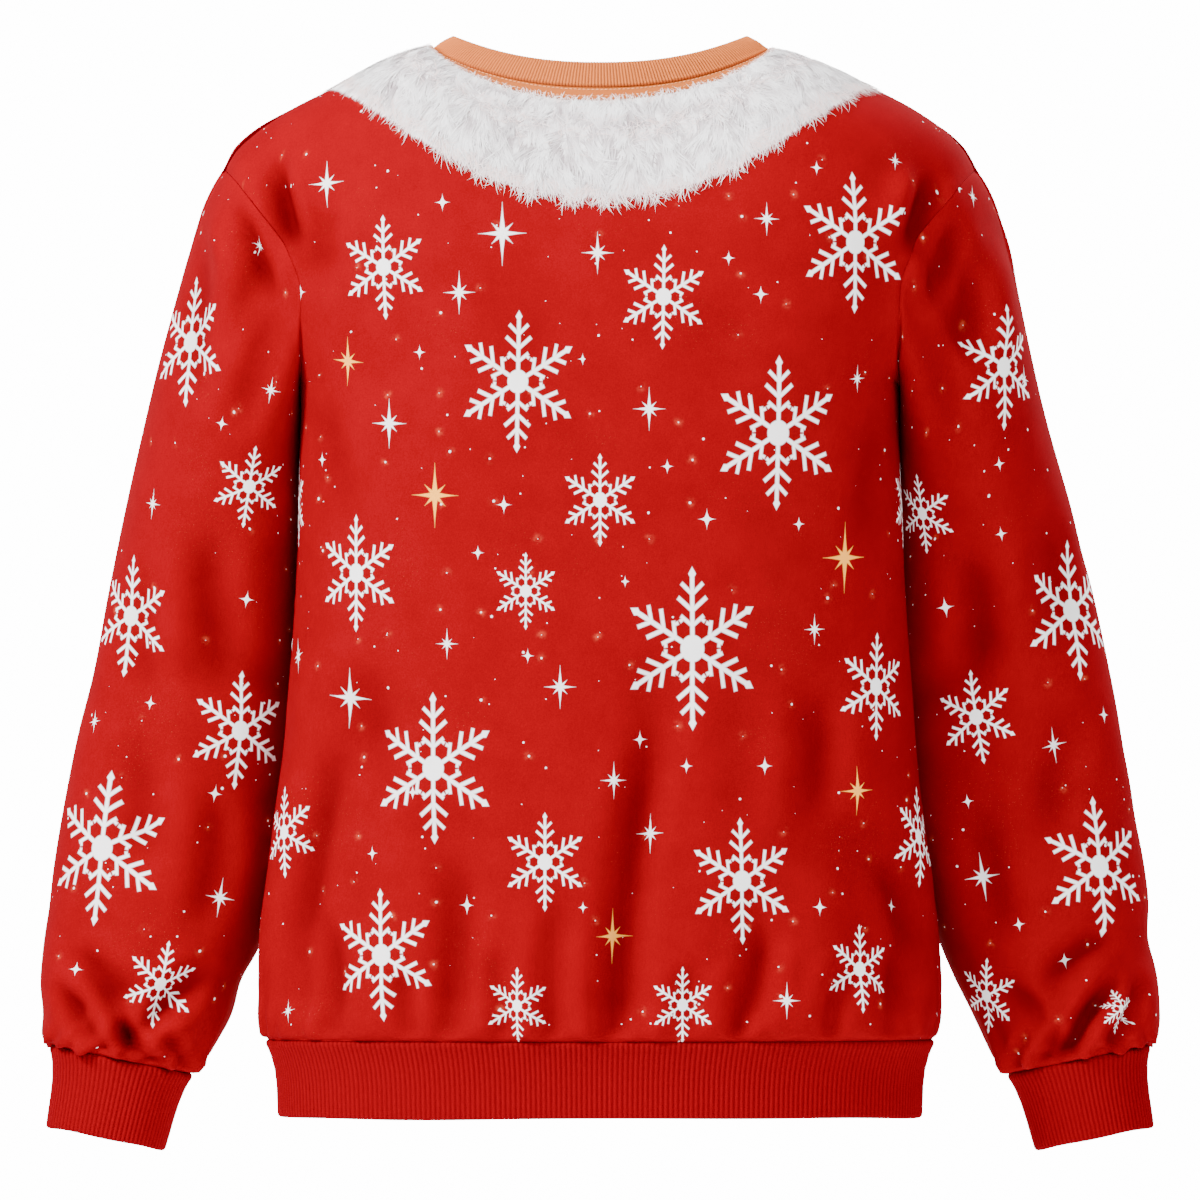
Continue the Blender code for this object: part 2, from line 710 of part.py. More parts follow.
def neck_rib(skin):
    """The neck rib: its seam follows the panels' straight chords, its edge is round."""
    numbers = [skin.number(p) for p in neck_rings(4 * NECK_HALF_COLUMNS)[0]]
    shift = skin.seam_shift("neck_rib")
    seam = skin.points[numbers] + [shift[n] for n in numbers]
    rings = neck_rings(2 * NECK_RIBS)
    rings[0] = on_chords(seam, 2 * NECK_RIBS)
    normals = ring_normals(rings)
    normals[0] = unit(on_chords(skin.normals[numbers], 2 * NECK_RIBS))
    return rib_mesh(rings, normals, BAND_POINTS_PER_INNER)


# Objects


def add_object(name, points, faces, colour, collection):
    mesh = bpy.data.meshes.new(name)
    mesh.from_pydata([tuple(p * METRES) for p in points], [], faces)
    shape = bmesh.new()
    shape.from_mesh(mesh)
    bmesh.ops.recalc_face_normals(shape, faces=shape.faces)
    if shape.calc_volume(signed=True) < 0:
        bmesh.ops.reverse_faces(shape, faces=shape.faces)
    bmesh.ops.triangulate(shape, faces=shape.faces)
    shape.to_mesh(mesh)
    shape.free()
    mesh.materials.append(material(colour))
    mesh.shade_smooth()
    mesh.set_sharp_from_angle(angle=math.radians(SMOOTH_BELOW))
    made = bpy.data.objects.new(name, mesh)
    collection.objects.link(made)
    return made


def material(name):
    if name in bpy.data.materials:
        return bpy.data.materials[name]
    made = bpy.data.materials.new(name)
    made.use_nodes = True
    colour, roughness = COLOURS[name]
    shader = made.node_tree.nodes["Principled BSDF"]
    shader.inputs["Base Color"].default_value = (*colour, 1)
    shader.inputs["Roughness"].default_value = roughness
    shader.inputs["Metallic"].default_value = 0
    return made


def garment_skin():
    back, front = body_panel("back"), body_panel("front")
    skin = Skin()
    skin.add("back", back)
    skin.add("front", front)
    skin.add("neck_rib", neck_rings(4 * NECK_HALF_COLUMNS), closed=True)
    skin.keep_square(np.concatenate([back[0], front[0]]), np.array([0, 0, 1.0]))
    for side, sign in SIDES.items():
        mirror = np.array([sign, 1, 1])
        rings = sleeve(side, armhole_loop(back, front, side)) * mirror
        skin.add(f"sleeve_{side}", rings, closed=True)
        skin.keep_square(rings[-1], cuff_axis() * mirror)
    skin.finish()
    return skin


def main():
    for item in list(bpy.data.objects):
        bpy.data.objects.remove(item)
    garment = bpy.data.collections.new("christmas_sweatshirt")
    bpy.context.scene.collection.children.link(garment)

    skin = garment_skin()
    for name in ("back", "front", "sleeve_left", "sleeve_right"):
        add_object(name, *wall_mesh(skin, name, FLEECE_WALL), "red_fleece", garment)
    add_object("neck_rib", *neck_rib(skin), "peach_rib", garment)
    add_object("hem_rib", *hem_rib(), "red_rib", garment)
    for side in SIDES:
        add_object(f"cuff_{side}", *cuff(side), "red_rib", garment)


main()
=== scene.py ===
# The looks of a Christmas sweatshirt: its cloth, print, ribbing, seams and studio.
#
# Lengths are in millimetres up to add_mesh, which makes every mesh in metres. The back faces -Y.
# The cloth follows the same sections as the solids; the finer creases, the print and the sewing
# are laid on it.

import math

import bpy
import numpy as np
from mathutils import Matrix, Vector
from mathutils.bvhtree import BVHTree
from mathutils.kdtree import KDTree


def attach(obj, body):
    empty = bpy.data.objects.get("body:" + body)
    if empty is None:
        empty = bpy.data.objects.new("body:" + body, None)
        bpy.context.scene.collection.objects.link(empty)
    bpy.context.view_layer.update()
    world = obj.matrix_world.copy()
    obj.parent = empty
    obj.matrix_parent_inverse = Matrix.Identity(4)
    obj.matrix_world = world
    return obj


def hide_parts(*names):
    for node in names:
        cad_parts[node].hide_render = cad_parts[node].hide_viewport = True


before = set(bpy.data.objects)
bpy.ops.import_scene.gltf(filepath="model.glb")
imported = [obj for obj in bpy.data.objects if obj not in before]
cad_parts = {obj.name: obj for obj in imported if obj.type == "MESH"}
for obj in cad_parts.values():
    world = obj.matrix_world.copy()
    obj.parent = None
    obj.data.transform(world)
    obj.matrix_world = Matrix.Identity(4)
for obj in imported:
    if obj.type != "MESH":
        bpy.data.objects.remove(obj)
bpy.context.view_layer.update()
BODY = "root"
METRES = 0.001
UPWARD = np.array([0, 0, 1.0])
RANDOM = np.random.default_rng(12)


def table(names, *rows):
    """A table's columns by their names."""
    return dict(zip(names.split(), np.array(rows, float).T.copy()))


# The cloth
FLEECE_WALL = 2.0
RIB_WALL = 2.4
RIB_HEIGHT = 0.7
SEAM_GAP = 0.3
MOST_MOVED = 0.4  # an edge moves in by at most this share of its row's width
SEAM_DIP = 1.1  # how deep the outer side rolls into a seam
SEAM_SOFT = 2.2
ALLOWANCE_WIDTH = 7.0  # the overlocked edges felt through the inner side
ALLOWANCE_HEIGHT = 0.9

# The body's main sizes, as in the solids
HEM_SEAM_Z = -647.0
HEM_Z = -697.5
ARMPIT_Z = -220.0
SOLID_HALF_COLUMNS = 12
NECK_HALF_COLUMNS = 5
NECK_SHARE = NECK_HALF_COLUMNS / SOLID_HALF_COLUMNS
BODY_MIDDLE = np.array([0.0, 0.0, -300.0])
SHOULDER_TIP = (246.0, 0.0, -80.0)
ARMHOLE_BACK = 82.0
ARMHOLE_FRONT = 85.0
ARMHOLE_ROUNDNESS = 0.45
YOKE_ROUND_FROM = 0.75  # the share of the armhole's height where the shoulder starts to turn
# How strongly the turn over the shoulder keeps its way at its start and its end
YOKE_LEAVES = 1.0
SEAM_ARRIVES = 1.15
NECK_POINT = (110.0, 6.0, -2.6)
NECK_EDGE_POINT = (95.0, 6.0, 7.0)
NECK_BACK = {"seam_y": -62.0, "seam_z": -27.3, "edge_y": -54.0, "edge_z": -10.9, "climb": 46.0}
NECK_FRONT = {"seam_y": 88.0, "seam_z": -85.0, "edge_y": 76.0, "edge_z": -71.5, "climb": 58.0}
NECK_BACK_FLATNESS = 2.3
NECK_FRONT_FLATNESS = 1.6
NECK_SIDE_TILT = 16.0
HEM_POWER = 2.4
SLEEVE_POWER = 2.15
SIDES = {"left": -1.0, "right": 1.0}

# How finely the cloth is made
COLUMNS_PER_SOLID_COLUMN = 7
ARMHOLE_STEPS = 72
ROW_STEP = 3.1
SLEEVE_STEP = 3.4
EDGE_ROWS = (0.0, 0.45, 1.1, 2.0, 3.3, 5.0)  # rows beside a seam
EDGE_COLUMNS = (0.0016, 0.004, 0.0072)  # columns beside a side seam, as shares of half a panel

BODY_SECTIONS = table(
    "z half_width back_depth front_depth power",
    (-647, 217.8, 111.5, 112.5, 2.4), (-642.5, 219.6, 114, 115, 2.4),
    (-633, 222.2, 116.5, 117.5, 2.4), (-616, 222.8, 118, 119, 2.4), (-582, 221.2, 118.5, 120, 2.4),
    (-543, 215.7, 118, 120, 2.4), (-504, 210.8, 117, 119, 2.4), (-465, 206.6, 116.5, 118.5, 2.4),
    (-426, 203.8, 117, 118.5, 2.4), (-385, 200.5, 118.5, 119, 2.42),
    (-344, 198, 120.5, 120.5, 2.46), (-303, 196.2, 122.5, 122, 2.54),
    (-261, 195.5, 124.5, 123.5, 2.66), (-220, 195.6, 125, 124, 2.78),
)
YOKE_SECTIONS = table(
    "share back_depth front_depth power",
    (0, 125, 124, 2.78), (0.25, 124, 124, 2.66), (0.5, 116.5, 119, 2.46), (0.75, 97, 107, 2.4),
    (1, 62, 88, 2.4),
)
ARMHOLE_LINE = table(
    "z x",
    (-220, 195.6), (-200, 194.6), (-178, 195.2), (-155, 198), (-132, 207.7), (-115.7, 217.7),
    (-102, 226.5), (-90, 236.5), (-80, 246),
)
SHOULDER_LINE = table(
    "x z",
    (110, -2.6), (130, -7.5), (152, -16.5), (176, -28), (206, -42.4), (229, -57), (238, -66),
    (246, -80),
)
# Rows of the sleeve and cuff: outer x and z, inner x and z, middle y and half depth
SLEEVE_ROWS = (
    (246, -80, 195.6, -220, 1, 83), (256, -98, 196.8, -231, 8, 82),
    (269, -136, 196.8, -251, 19, 80), (283.5, -188, 195.6, -284, 31, 77),
    (298.5, -248, 194.2, -324, 43, 73), (313, -309, 193.2, -366, 53, 69),
    (326, -371, 193.4, -413, 60, 65), (339, -434, 196, -462, 63, 62),
    (350, -494, 202.5, -514, 63, 60), (359, -550, 215.5, -567, 60, 59),
    (364.5, -593, 231.5, -608, 56, 57), (366.8, -624, 245, -640, 50, 54),
    (366.2, -639, 253.5, -655, 46, 50), (363.5, -647.5, 260.5, -665, 43, 45.5),
    (359, -651, 266.5, -670, 41, 40.5),
)
CUFF_ROWS = (
    (359, -651, 266.5, -670, 41, 40.5), (357.5, -663, 272, -680.5, 40, 38),
    (361.5, -705, 285, -720, 39, 35.5),
)
HEM_COLUMNS = ("z", "half_width", "back_depth", "front_depth")
HEM_ROWS = (
    (HEM_SEAM_Z, 217.6, 111.3, 112.3),
    (HEM_SEAM_Z - 17.0, 212.0, 106.5, 107.5),
    (HEM_Z, 209.4, 104.5, 105.5),
)

# The main folds, as in the solids: a line seen from behind. A depth below nothing is a ridge.
FOLD_COLUMNS = ("x_top", "z_top", "x_foot", "z_foot", "half_width", "depth")
BODY_FOLDS = {
    "back": (
        (-214, -78, -194, -140, 24, 8), (216, -84, 193, -140, 24, 7),
        (-158, -440, -193, -615, 25, 9), (-98, -520, -97, -630, 24, 6), (40, -425, 13, -634, 26, 8),
        (140, -430, 139, -520, 24, 5), (176, -520, 196, -600, 25, 8), (108, -565, 92, -630, 24, 6),
    ),
    "front": (
        (-150, -170, -120, -260, 26, 6), (152, -175, 124, -255, 26, 6),
        (-150, -430, -182, -610, 26, 8), (-40, -500, -30, -632, 26, 6), (70, -450, 52, -632, 26, 8),
        (158, -470, 176, -600, 25, 7),
    ),
}
SLEEVE_FOLD_COLUMNS = ("along", "slant", "round", "spread", "half_width", "depth")
SLEEVE_FOLDS = {
    "left": (
        (0.5, 0.04, 60, 75, 0.035, 5), (0.62, -0.05, 90, 70, 0.035, 4),
        (0.93, 0.03, 110, 80, 0.03, 6), (0.47, -0.03, 280, 70, 0.035, 6),
        (0.58, 0.04, 290, 70, 0.035, 5), (0.86, 0.03, 290, 80, 0.03, 5),
    ),
    "right": (
        (0.25, 0, 180, 60, 0.14, 6), (0.48, -0.05, 70, 70, 0.035, 5),
        (0.66, 0.04, 95, 70, 0.035, 4), (0.9, -0.04, 100, 85, 0.03, 6),
        (0.45, 0.03, 285, 70, 0.035, 6), (0.57, -0.04, 275, 70, 0.035, 5),
        (0.88, 0.03, 270, 80, 0.03, 5),
    ),
}
# Where main folds fade: shares of a panel's half width and of the armhole's height, and a height
FOLD_SIDE_FADE = 0.3
FOLD_ARMHOLE_FROM = 0.05
FOLD_ARMHOLE_FADE = 0.15
FOLD_HEM_FADE = 30.0
BESIDE_TURN = 0.6  # how far round a sleeve, in radians, it stays plain beside the body
BESIDE_PUSH = 2.0
# Shares of a sleeve's length: where the armhole's shape and the main folds fade
SLEEVE_LOOP_FADE = 0.22
SLEEVE_FOLD_TOP_FADE = 0.12
SLEEVE_FOLD_CUFF_FADE = 0.04
NORMAL_REACH = 7.0  # how far along a panel its normals are averaged
SEAM_CROSSING = 12.0  # gathers and puckers die out this far from a seam that crosses theirs
WAVES_FADE = 20.0
UNDERARM_FADE = 10.0
CREASES_FACE = 0.55  # how far cloth must face a side to show that side's creases in full
GATHERS_FACE = 0.45  # the same for the gathers over a cuff
WAVES_APART = 60.0  # keeps the two sleeves' unevenness from being mirror images
HANG_REACH = 40.0  # how far above the cuff its roll hangs down

# The creases that the solids leave out: lines seen from behind, bowed sideways at their middle
CREASE_COLUMNS = FOLD_COLUMNS[:4] + ("bow", "half_width", "depth")
CREASES = {
    ("back", "back"): (
        (-220, -66, -200, -144, 0, 8, 5.4), (-176, -92, -182, -168, 4, 12, 1.8),
        (-206, -70, -176, -118, 5, 11, -1.8), (222, -74, 204, -142, 0, 8, 5),
        (206, -74, 178, -122, -5, 11, -1.8), (-190, -215, -172, -330, -7, 13, 2),
        (190, -222, 175, -345, 6, 13, 2.2), (-170, -430, -207, -628, 5, 10, 3.4),
        (-146, -393, -150, -475, 3, 15, 1.8), (-186, -560, -176, -640, -5, 8, 2.4),
        (-124, -596, -123, -642, 3, 8, 2.6), (-97, -515, -98, -642, -4, 11, 2.6),
        (-66, -575, -62, -642, 3, 8, 2.4), (-25, -545, -28, -642, 3, 9, 2.4),
        (43, -415, 11, -642, 6, 11, 3.2), (62, -590, 58, -642, 2, 8, 2),
        (109, -565, 90, -640, -3, 9, 2.8), (98, -361, 97, -560, 6, 18, 1.4),
        (141, -405, 139, -515, -4, 12, 2.6), (170, -590, 149, -642, 4, 8, 2.6),
        (184, -515, 214, -610, -5, 10, 3), (199, -575, 190, -642, -3, 8, 2),
        (-60, -130, -20, -235, 9, 24, 1.3), (85, -140, 60, -250, -8, 24, 1.3),
    ),
    ("front", "front"): (
        (-205, -78, -170, -150, 6, 10, 2.8), (207, -80, 168, -158, -7, 10, 2.8),
        (-188, -150, -140, -230, 9, 12, 3), (190, -158, 146, -226, -9, 12, 3),
        (-188, -230, -166, -360, -8, 14, 2.4), (189, -240, 170, -350, 8, 14, 2.2),
        (-160, -420, -198, -632, 7, 11, 3.4), (-118, -540, -110, -642, -4, 10, 2.8),
        (-84, -590, -86, -642, 2, 8, 2.2), (-42, -490, -28, -642, 5, 11, 2.8),
        (4, -580, 6, -642, -3, 9, 2.2), (72, -430, 48, -642, -6, 12, 3.2),
        (96, -575, 101, -642, 3, 9, 2.4), (128, -520, 138, -640, 5, 11, 2.4),
        (160, -450, 192, -615, -6, 11, 3.2), (60, -230, 84, -380, 10, 24, 1.4),
        (-74, -240, -90, -400, -10, 26, 1.5),
    ),
    ("sleeve_left", "back"): (
        (-243, -100, -213, -176, -3, 7, 4.2), (-252, -96, -240, -178, -4, 10, -2.2),
        (-356, -606, -330, -646, 4, 5.5, 3.2), (-340, -600, -306, -652, -4, 6, 3.6),
        (-318, -626, -290, -662, 3, 4.5, 3), (-286, -640, -270, -668, -2, 4, 2.6),
        (-344, -622, -318, -650, 2, 5, -2), (-258, -118, -262, -248, 6, 13, 3.2),
        (-222, -150, -236, -262, -7, 12, 2.4), (-254, -300, -236, -428, 8, 14, 3.6),
        (-292, -330, -300, -440, 6, 14, 2.2), (-318, -440, -300, -548, -9, 15, 2.8),
        (-252, -470, -262, -590, -8, 13, 2.6), (-357, -588, -296, -634, -7, 8, 3.6),
        (-346, -612, -316, -648, 4, 6, 2.4), (-246, -600, -290, -640, 7, 8, 3.2),
        (-262, -636, -300, -652, 3, 6, -2.2),
    ),
    ("sleeve_right", "back"): (
        (240, -104, 214, -178, 3, 7, 3.8), (244, -126, 246, -218, 5, 11, 3.2),
        (358, -600, 334, -646, -4, 5.5, 3.2), (338, -612, 306, -654, 4, 5.5, 3.4),
        (300, -630, 288, -660, -2, 4.5, 3), (280, -640, 272, -668, 2, 4, 2.4),
        (262, -112, 274, -210, 4, 13, -2.4), (222, -160, 232, -270, 6, 12, 2.4),
        (234, -316, 239, -424, -8, 14, 3.6), (288, -290, 302, -410, -7, 15, 2.4),
        (316, -420, 296, -530, 8, 14, 2.6), (246, -480, 270, -586, 7, 13, 2.6),
        (345, -576, 286, -618, 8, 9, 4), (352, -604, 312, -644, 5, 7, 3),
        (250, -606, 290, -644, -6, 7, 2.6),
    ),
    ("sleeve_left", "front"): (
        (-250, -110, -246, -220, 6, 13, 3), (-226, -190, -262, -300, -9, 13, 3.2),
        (-216, -260, -276, -330, -8, 12, 3.4), (-210, -330, -284, -380, -9, 12, 3.4),
        (-318, -380, -300, -500, 8, 14, 2.4), (-236, -470, -300, -560, 8, 13, 3),
        (-352, -580, -290, -630, -8, 9, 3.6), (-256, -610, -300, -646, 6, 7, 2.8),
    ),
    ("sleeve_right", "front"): (
        (248, -116, 250, -230, -6, 13, 3), (222, -200, 268, -290, 9, 13, 3.2),
        (214, -270, 280, -345, 9, 12, 3.4), (208, -345, 280, -392, 8, 12, 3),
        (322, -370, 304, -480, -8, 14, 2.4), (232, -480, 304, -566, -9, 13, 3),
        (350, -590, 292, -636, 8, 9, 3.4), (254, -604, 298, -640, -6, 7, 2.8),
    ),
}
CREASE_GAIN = 2.15  # how much deeper the creases are than their numbers
CREASE_BULGE = 0.3  # the soft rise on both sides of a crease
CREASE_LEAD = 0.38  # the share of its length in which a crease deepens and fades
CREASE_SEAM_FADE = 9.0
MAIN_SHADE = 0.35  # how much a main fold counts in the painted shade, beside a crease
CREASE_INTO_SEAM = -636.0  # a crease with its foot below this runs into the hem or cuff seam

# Gathers where the cloth is eased into the ribbing: height, reach and wavelength
HEM_GATHERS = (1.7, 18.0, 3.4)
CUFF_GATHERS = (3.4, 19.0, 4.2)
SEAM_PUCKERS = (0.28, 6.0, 2.2)
# Rolls that hang over a gathered seam: height, distance of the fullest place and wavelength
HEM_ROLL = (0.8, 3.0, 2.6)
CUFF_ROLL = (3.2, 4.6, 3.1)
SOFT_WAVES = 0.8  # the height of the slight unevenness all over
ROLL_HANGS = 0.85  # how far a roll hangs down for each millimetre that it stands out

# The print, seen from behind: x and z of a motif's middle, half its height, and any tilt
MOTIFS = {
    "body": {
        "flake": (
            (-140, -145, 34, -2), (41, -165, 34, 1), (166, -129, 46), (-54, -218, 46, 1),
            (115, -253, 50, 1), (3, -296, 30), (-158, -343, 38), (-48, -354, 25), (61, -393, 53),
            (180, -417, 35), (-108, -470, 49), (-35, -530, 32), (92, -543, 41, -1),
            (-142, -591, 43, -2), (-54, -624, 25), (54, -624, 25), (168, -599, 29),
            (-197, -298, 29), (-205, -512, 30), (200, -299, 29), (207, -514, 33),
        ),
        "white": (
            (-63, -123, 21), (-177, -91, 16), (-92, -162, 14), (-137, -246, 16), (0, -135, 14),
            (32, -237, 14), (108, -114, 11), (-162, -424, 20), (-99, -388, 10), (-26, -417, 14),
            (33, -512, 13), (8, -478, 12), (-196, -398, 12), (-219, -387, 8), (167, -217, 9),
            (139, -380, 10), (121, -620, 12), (-203, -628, 8), (192, -75, 7),
        ),
        "gold": (
            (-107, -294, 21), (-163, -206, 16), (159, -333, 23), (167, -485, 16), (8, -579, 18),
        ),
        "small": (
            (-80, -330, 5), (-62, -298, 6), (-117, -200, 5), (70, -309, 7), (43, -275, 5),
            (104, -163, 6), (84, -140, 5), (-103, -103, 6), (-46, -398, 5), (25, -452, 6),
            (106, -468, 6), (55, -468, 5), (-121, -484, 5), (-86, -558, 7), (143, -561, 6),
            (-148, -525, 5), (17, -348, 4), (-12, -205, 4), (128, -312, 5), (-180, -270, 5),
            (-196, -160, 5), (140, -80, 5), (-10, -560, 4), (190, -560, 5),
        ),
    },
    "left": {
        "flake": (
            (-267, -192, 43), (-228, -287, 28), (-306, -371, 40), (-234, -446, 39, -5),
            (-326, -523, 51), (-286, -612, 29, 3),
        ),
        "white": (
            (-223, -131, 8), (-214, -224, 9), (-292, -298, 10), (-249, -555, 13), (-330, -440, 8),
        ),
        "small": (
            (-230, -360, 6), (-245, -246, 5), (-252, -487, 6), (-300, -250, 4), (-293, -428, 5),
            (-342, -601, 6), (-258, -108, 4),
        ),
    },
    "right": {
        "flake": (
            (263, -209, 41), (210, -304, 27), (308, -368, 46), (245, -437, 31), (326, -534, 46),
            (252, -619, 26), (340, -627, 18),
        ),
        "white": (
            (277, -217, 10), (296, -456, 12), (249, -541, 16), (243, -98, 8),
        ),
        "small": (
            (225, -365, 7), (262, -318, 5), (260, -273, 5), (304, -595, 6), (240, -492, 5),
            (273, -572, 5), (329, -435, 6), (228, -88, 5),
        ),
    },
}
LEANS = {"left": 9.0, "right": -9.0}  # how the print leans with a sleeve, in degrees
MOTIF_REACH = 1.12  # a motif's layer reaches this far past its half height
NEAREST_POINTS = 4  # points that a motif's middle is averaged from
JUST_SEEN = 0.02
STAR_KINDS = {"white": 1.0, "gold": 2.0, "small": 3.0}
NO_MOTIF = 9.0  # a local coordinate well outside every motif
FEWEST_COVERED = 12  # points that a motif's normal is averaged from, at least
FLAKE_SQUEEZE = 0.87  # a snowflake is narrower than a regular one

# The printed fur round the neck: widths from the neck seam at the back, side and front
PEACH_STRIP = 13.0
FUR_WIDTHS = {"back": 91.0, "side": 77.0, "front": 84.0}
# The lines over the cloth that place the fur: their step, their number, and how many are smoothed
FUR_STEP = 4.0
FUR_TURNS = 480
LINE_NEIGHBOURS = 5
STROKE_BURIED = 0.35  # a stroke that cuts deeper into the cloth, at a sharp bend, is left out
FUR_STROKES = 9500
TUFT_STROKES = 20
FUR_PARTING = 0.40  # the share of the width where the fur parts, up and down
FUR_FRINGES = {"lower": 2300, "upper": 800, "parting": 700}
FUR_SAMPLES = 6  # points along a stroke
OUTSIDE_FUR = [200.0, -110.0, 0.0]  # the trim layer's values below the lowest fur
FUR_LOWEST_Z = -230.0

# The colours, as linear values
RED = (0.222, 0.0, 0.0038)
RED_DEEP = (0.190, 0.0, 0.0032)
RED_INSIDE = (0.22, 0.0005, 0.004)
RIB_RED = (0.195, 0.0, 0.0034)
PEACH = (0.54, 0.142, 0.031)
# PEACH_DARK also serves as the painted shade in the neck rib's grooves
PEACH_DARK = (0.26, 0.068, 0.020)
THREAD_PEACH = (0.88, 0.36, 0.14)
PRINT_WHITE = (0.97, 0.95, 0.95)
PRINT_GOLD = (1.0, 0.42, 0.06)
GLOW = (0.85, 0.13, 0.06)
FUR_WHITE = (0.97, 0.94, 0.945)
FUR_LIGHT = (0.99, 0.975, 0.98)
FUR_SHADE = (0.36, 0.295, 0.31)
FUR_PINK = (0.96, 0.72, 0.68)


# Curves and surfaces


def curve_through(knots, values, at):
    """A smooth curve through the values at the knots, read at other places."""
    knots, values = np.asarray(knots, float), np.asarray(values, float)
    at = np.asarray(at, float)
    slope = np.gradient(values, knots, axis=0)
    k = np.clip(np.searchsorted(knots, at, side="right") - 1, 0, len(knots) - 2)
    step = knots[k + 1] - knots[k]
    t = (at - knots[k]) / step
    if values.ndim > 1:
        spread = (...,) + (None,) * (values.ndim - 1)
        step, t = step[spread], t[spread]
    return hermite(values[k], slope[k] * step, values[k + 1], slope[k + 1] * step, t)


def hermite(start, start_way, end, end_way, t):
    """A cubic from start to end that leaves and arrives along the two ways."""
    return (
        (1 + 2 * t) * (1 - t) ** 2 * start
        + t * (1 - t) ** 2 * start_way
        + t * t * (3 - 2 * t) * end
        + t * t * (t - 1) * end_way
    )


def unit(vectors):
    length = np.linalg.norm(vectors, axis=-1, keepdims=True)
    return vectors / np.maximum(length, 1e-9)


def smooth_step(x):
    x = np.clip(x, 0, 1)
    return x * x * (3 - 2 * x)


def along_lengths(points, axis=0):
    """Lengths from the first point on, along an axis of an array of points."""
    steps = np.linalg.norm(np.diff(points, axis=axis), axis=-1)
    start = np.zeros_like(np.take(steps, [0], axis=axis))
    return np.concatenate([start, np.cumsum(steps, axis=axis)], axis=axis)


def section(half_width, half_depth, power, angle):
    """How far out and how far back a rounded section reaches, at an angle from its back."""
    out = half_width * np.abs(np.sin(angle)) ** (2 / power) * np.sign(np.sin(angle))
    back = half_depth * np.clip(np.cos(angle), 0, 1) ** (2 / power)
    return out, back


def named(rows, names):
    return [dict(zip(names, row)) for row in rows]


# The body


def across():
    """Places across a panel from -1 to 1, closer together beside its edges."""
    half = SOLID_HALF_COLUMNS * COLUMNS_PER_SOLID_COLUMN
    places = np.linspace(-1, 1, 2 * half + 1)
    beside = 1 - np.array(EDGE_COLUMNS)
    return np.sort(np.concatenate([places, beside, -beside]))


def heights_of_rows():
    """Heights of the rows below the armpit, closer together beside the hem seam."""
    start = HEM_SEAM_Z + EDGE_ROWS[-1]
    count = round((ARMPIT_Z - start) / ROW_STEP)
    even = np.linspace(start, ARMPIT_Z, count + 1)
    return np.concatenate([HEM_SEAM_Z + np.array(EDGE_ROWS[:-1]), even])


def armhole_shares():
    """Heights of the rows on the armhole, evenly round its loop."""
    turns = np.linspace(0, math.pi, ARMHOLE_STEPS + 1)
    return (1 - np.cos(turns)) / 2


def facing_of(panel):
    """The way that a side of the garment looks along Y."""
    return -1 if panel == "back" else 1


def neck_numbers(panel):
    return NECK_BACK if panel == "back" else NECK_FRONT


def lower_rows(panel, heights, places):
    """The panel below the armpits, as rows of points."""
    width, depth, power = (
        curve_through(BODY_SECTIONS["z"], BODY_SECTIONS[name], heights)[:, None]
        for name in ("half_width", f"{panel}_depth", "power")
    )
    out, back = section(width, depth, power, places * math.pi / 2)
    y = facing_of(panel) * back
    return np.stack([out, y, np.broadcast_to(heights[:, None], out.shape)], -1)


def neck_curve(panel, turn, line):
    """The neck's seam or edge: turn runs from 0 at the panel's middle to 90 degrees."""
    side_point = NECK_POINT if line == "seam" else NECK_EDGE_POINT
    numbers = neck_numbers(panel)
    middle_y, middle_z = numbers[f"{line}_y"], numbers[f"{line}_z"]
    if panel == "back":
        drop = 1 - np.abs(np.sin(turn)) ** NECK_BACK_FLATNESS
    else:
        drop = np.clip(np.cos(turn), 0, 1) ** NECK_FRONT_FLATNESS
    return np.stack(
        [
            side_point[0] * np.sin(turn),
            side_point[1] + (middle_y - side_point[1]) * np.cos(turn),
            side_point[2] + (middle_z - side_point[2]) * drop,
        ],
        -1,
    )


def top_line(panel, places):
    """The panel's top: the neck seam in the middle and a shoulder seam on each side."""
    size = np.abs(places)
    neck = neck_curve(panel, np.clip(size / NECK_SHARE, 0, 1) * math.pi / 2, "seam")
    line = np.stack([SHOULDER_LINE["x"], SHOULDER_LINE["z"]], -1)
    lengths = along_lengths(line)
    share = np.clip((size - NECK_SHARE) / (1 - NECK_SHARE), 0, 1)
    shoulder = curve_through(lengths, line, share * lengths[-1])
    ridge_y = NECK_POINT[1] + (SHOULDER_TIP[1] - NECK_POINT[1]) * share
    ridge = np.stack([shoulder[:, 0], ridge_y, shoulder[:, 1]], -1)
    points = np.where((size < NECK_SHARE)[:, None], neck, ridge)
    points[:, 0] *= np.where(places < 0, -1, 1)
    points[0, 0], points[-1, 0] = -SHOULDER_TIP[0], SHOULDER_TIP[0]
    return points


def yoke_row(panel, share, places):
    """One row of the upper body that still follows the body's rounded section."""
    top = top_line(panel, places)
    z = ARMPIT_Z + share * (top[:, 2] - ARMPIT_Z)
    edge_z = ARMPIT_Z + share * (SHOULDER_TIP[2] - ARMPIT_Z)
    edge_x = curve_through(ARMHOLE_LINE["z"], ARMHOLE_LINE["x"], edge_z)
    reach = ARMHOLE_BACK if panel == "back" else ARMHOLE_FRONT
    edge_y = reach * (1 - (1 - 2 * share) ** 2) ** ARMHOLE_ROUNDNESS
    depth, power = (
        curve_through(YOKE_SECTIONS["share"], YOKE_SECTIONS[name], share)
        for name in (f"{panel}_depth", "power")
    )
    kept = (1 - (edge_y / depth) ** power) ** (1 / power)
    last_angle = math.asin(min(kept ** (power / 2), 1))
    out, back = section(edge_x / kept, depth, power, places * last_angle)
    return np.stack([out, facing_of(panel) * back, z], -1)


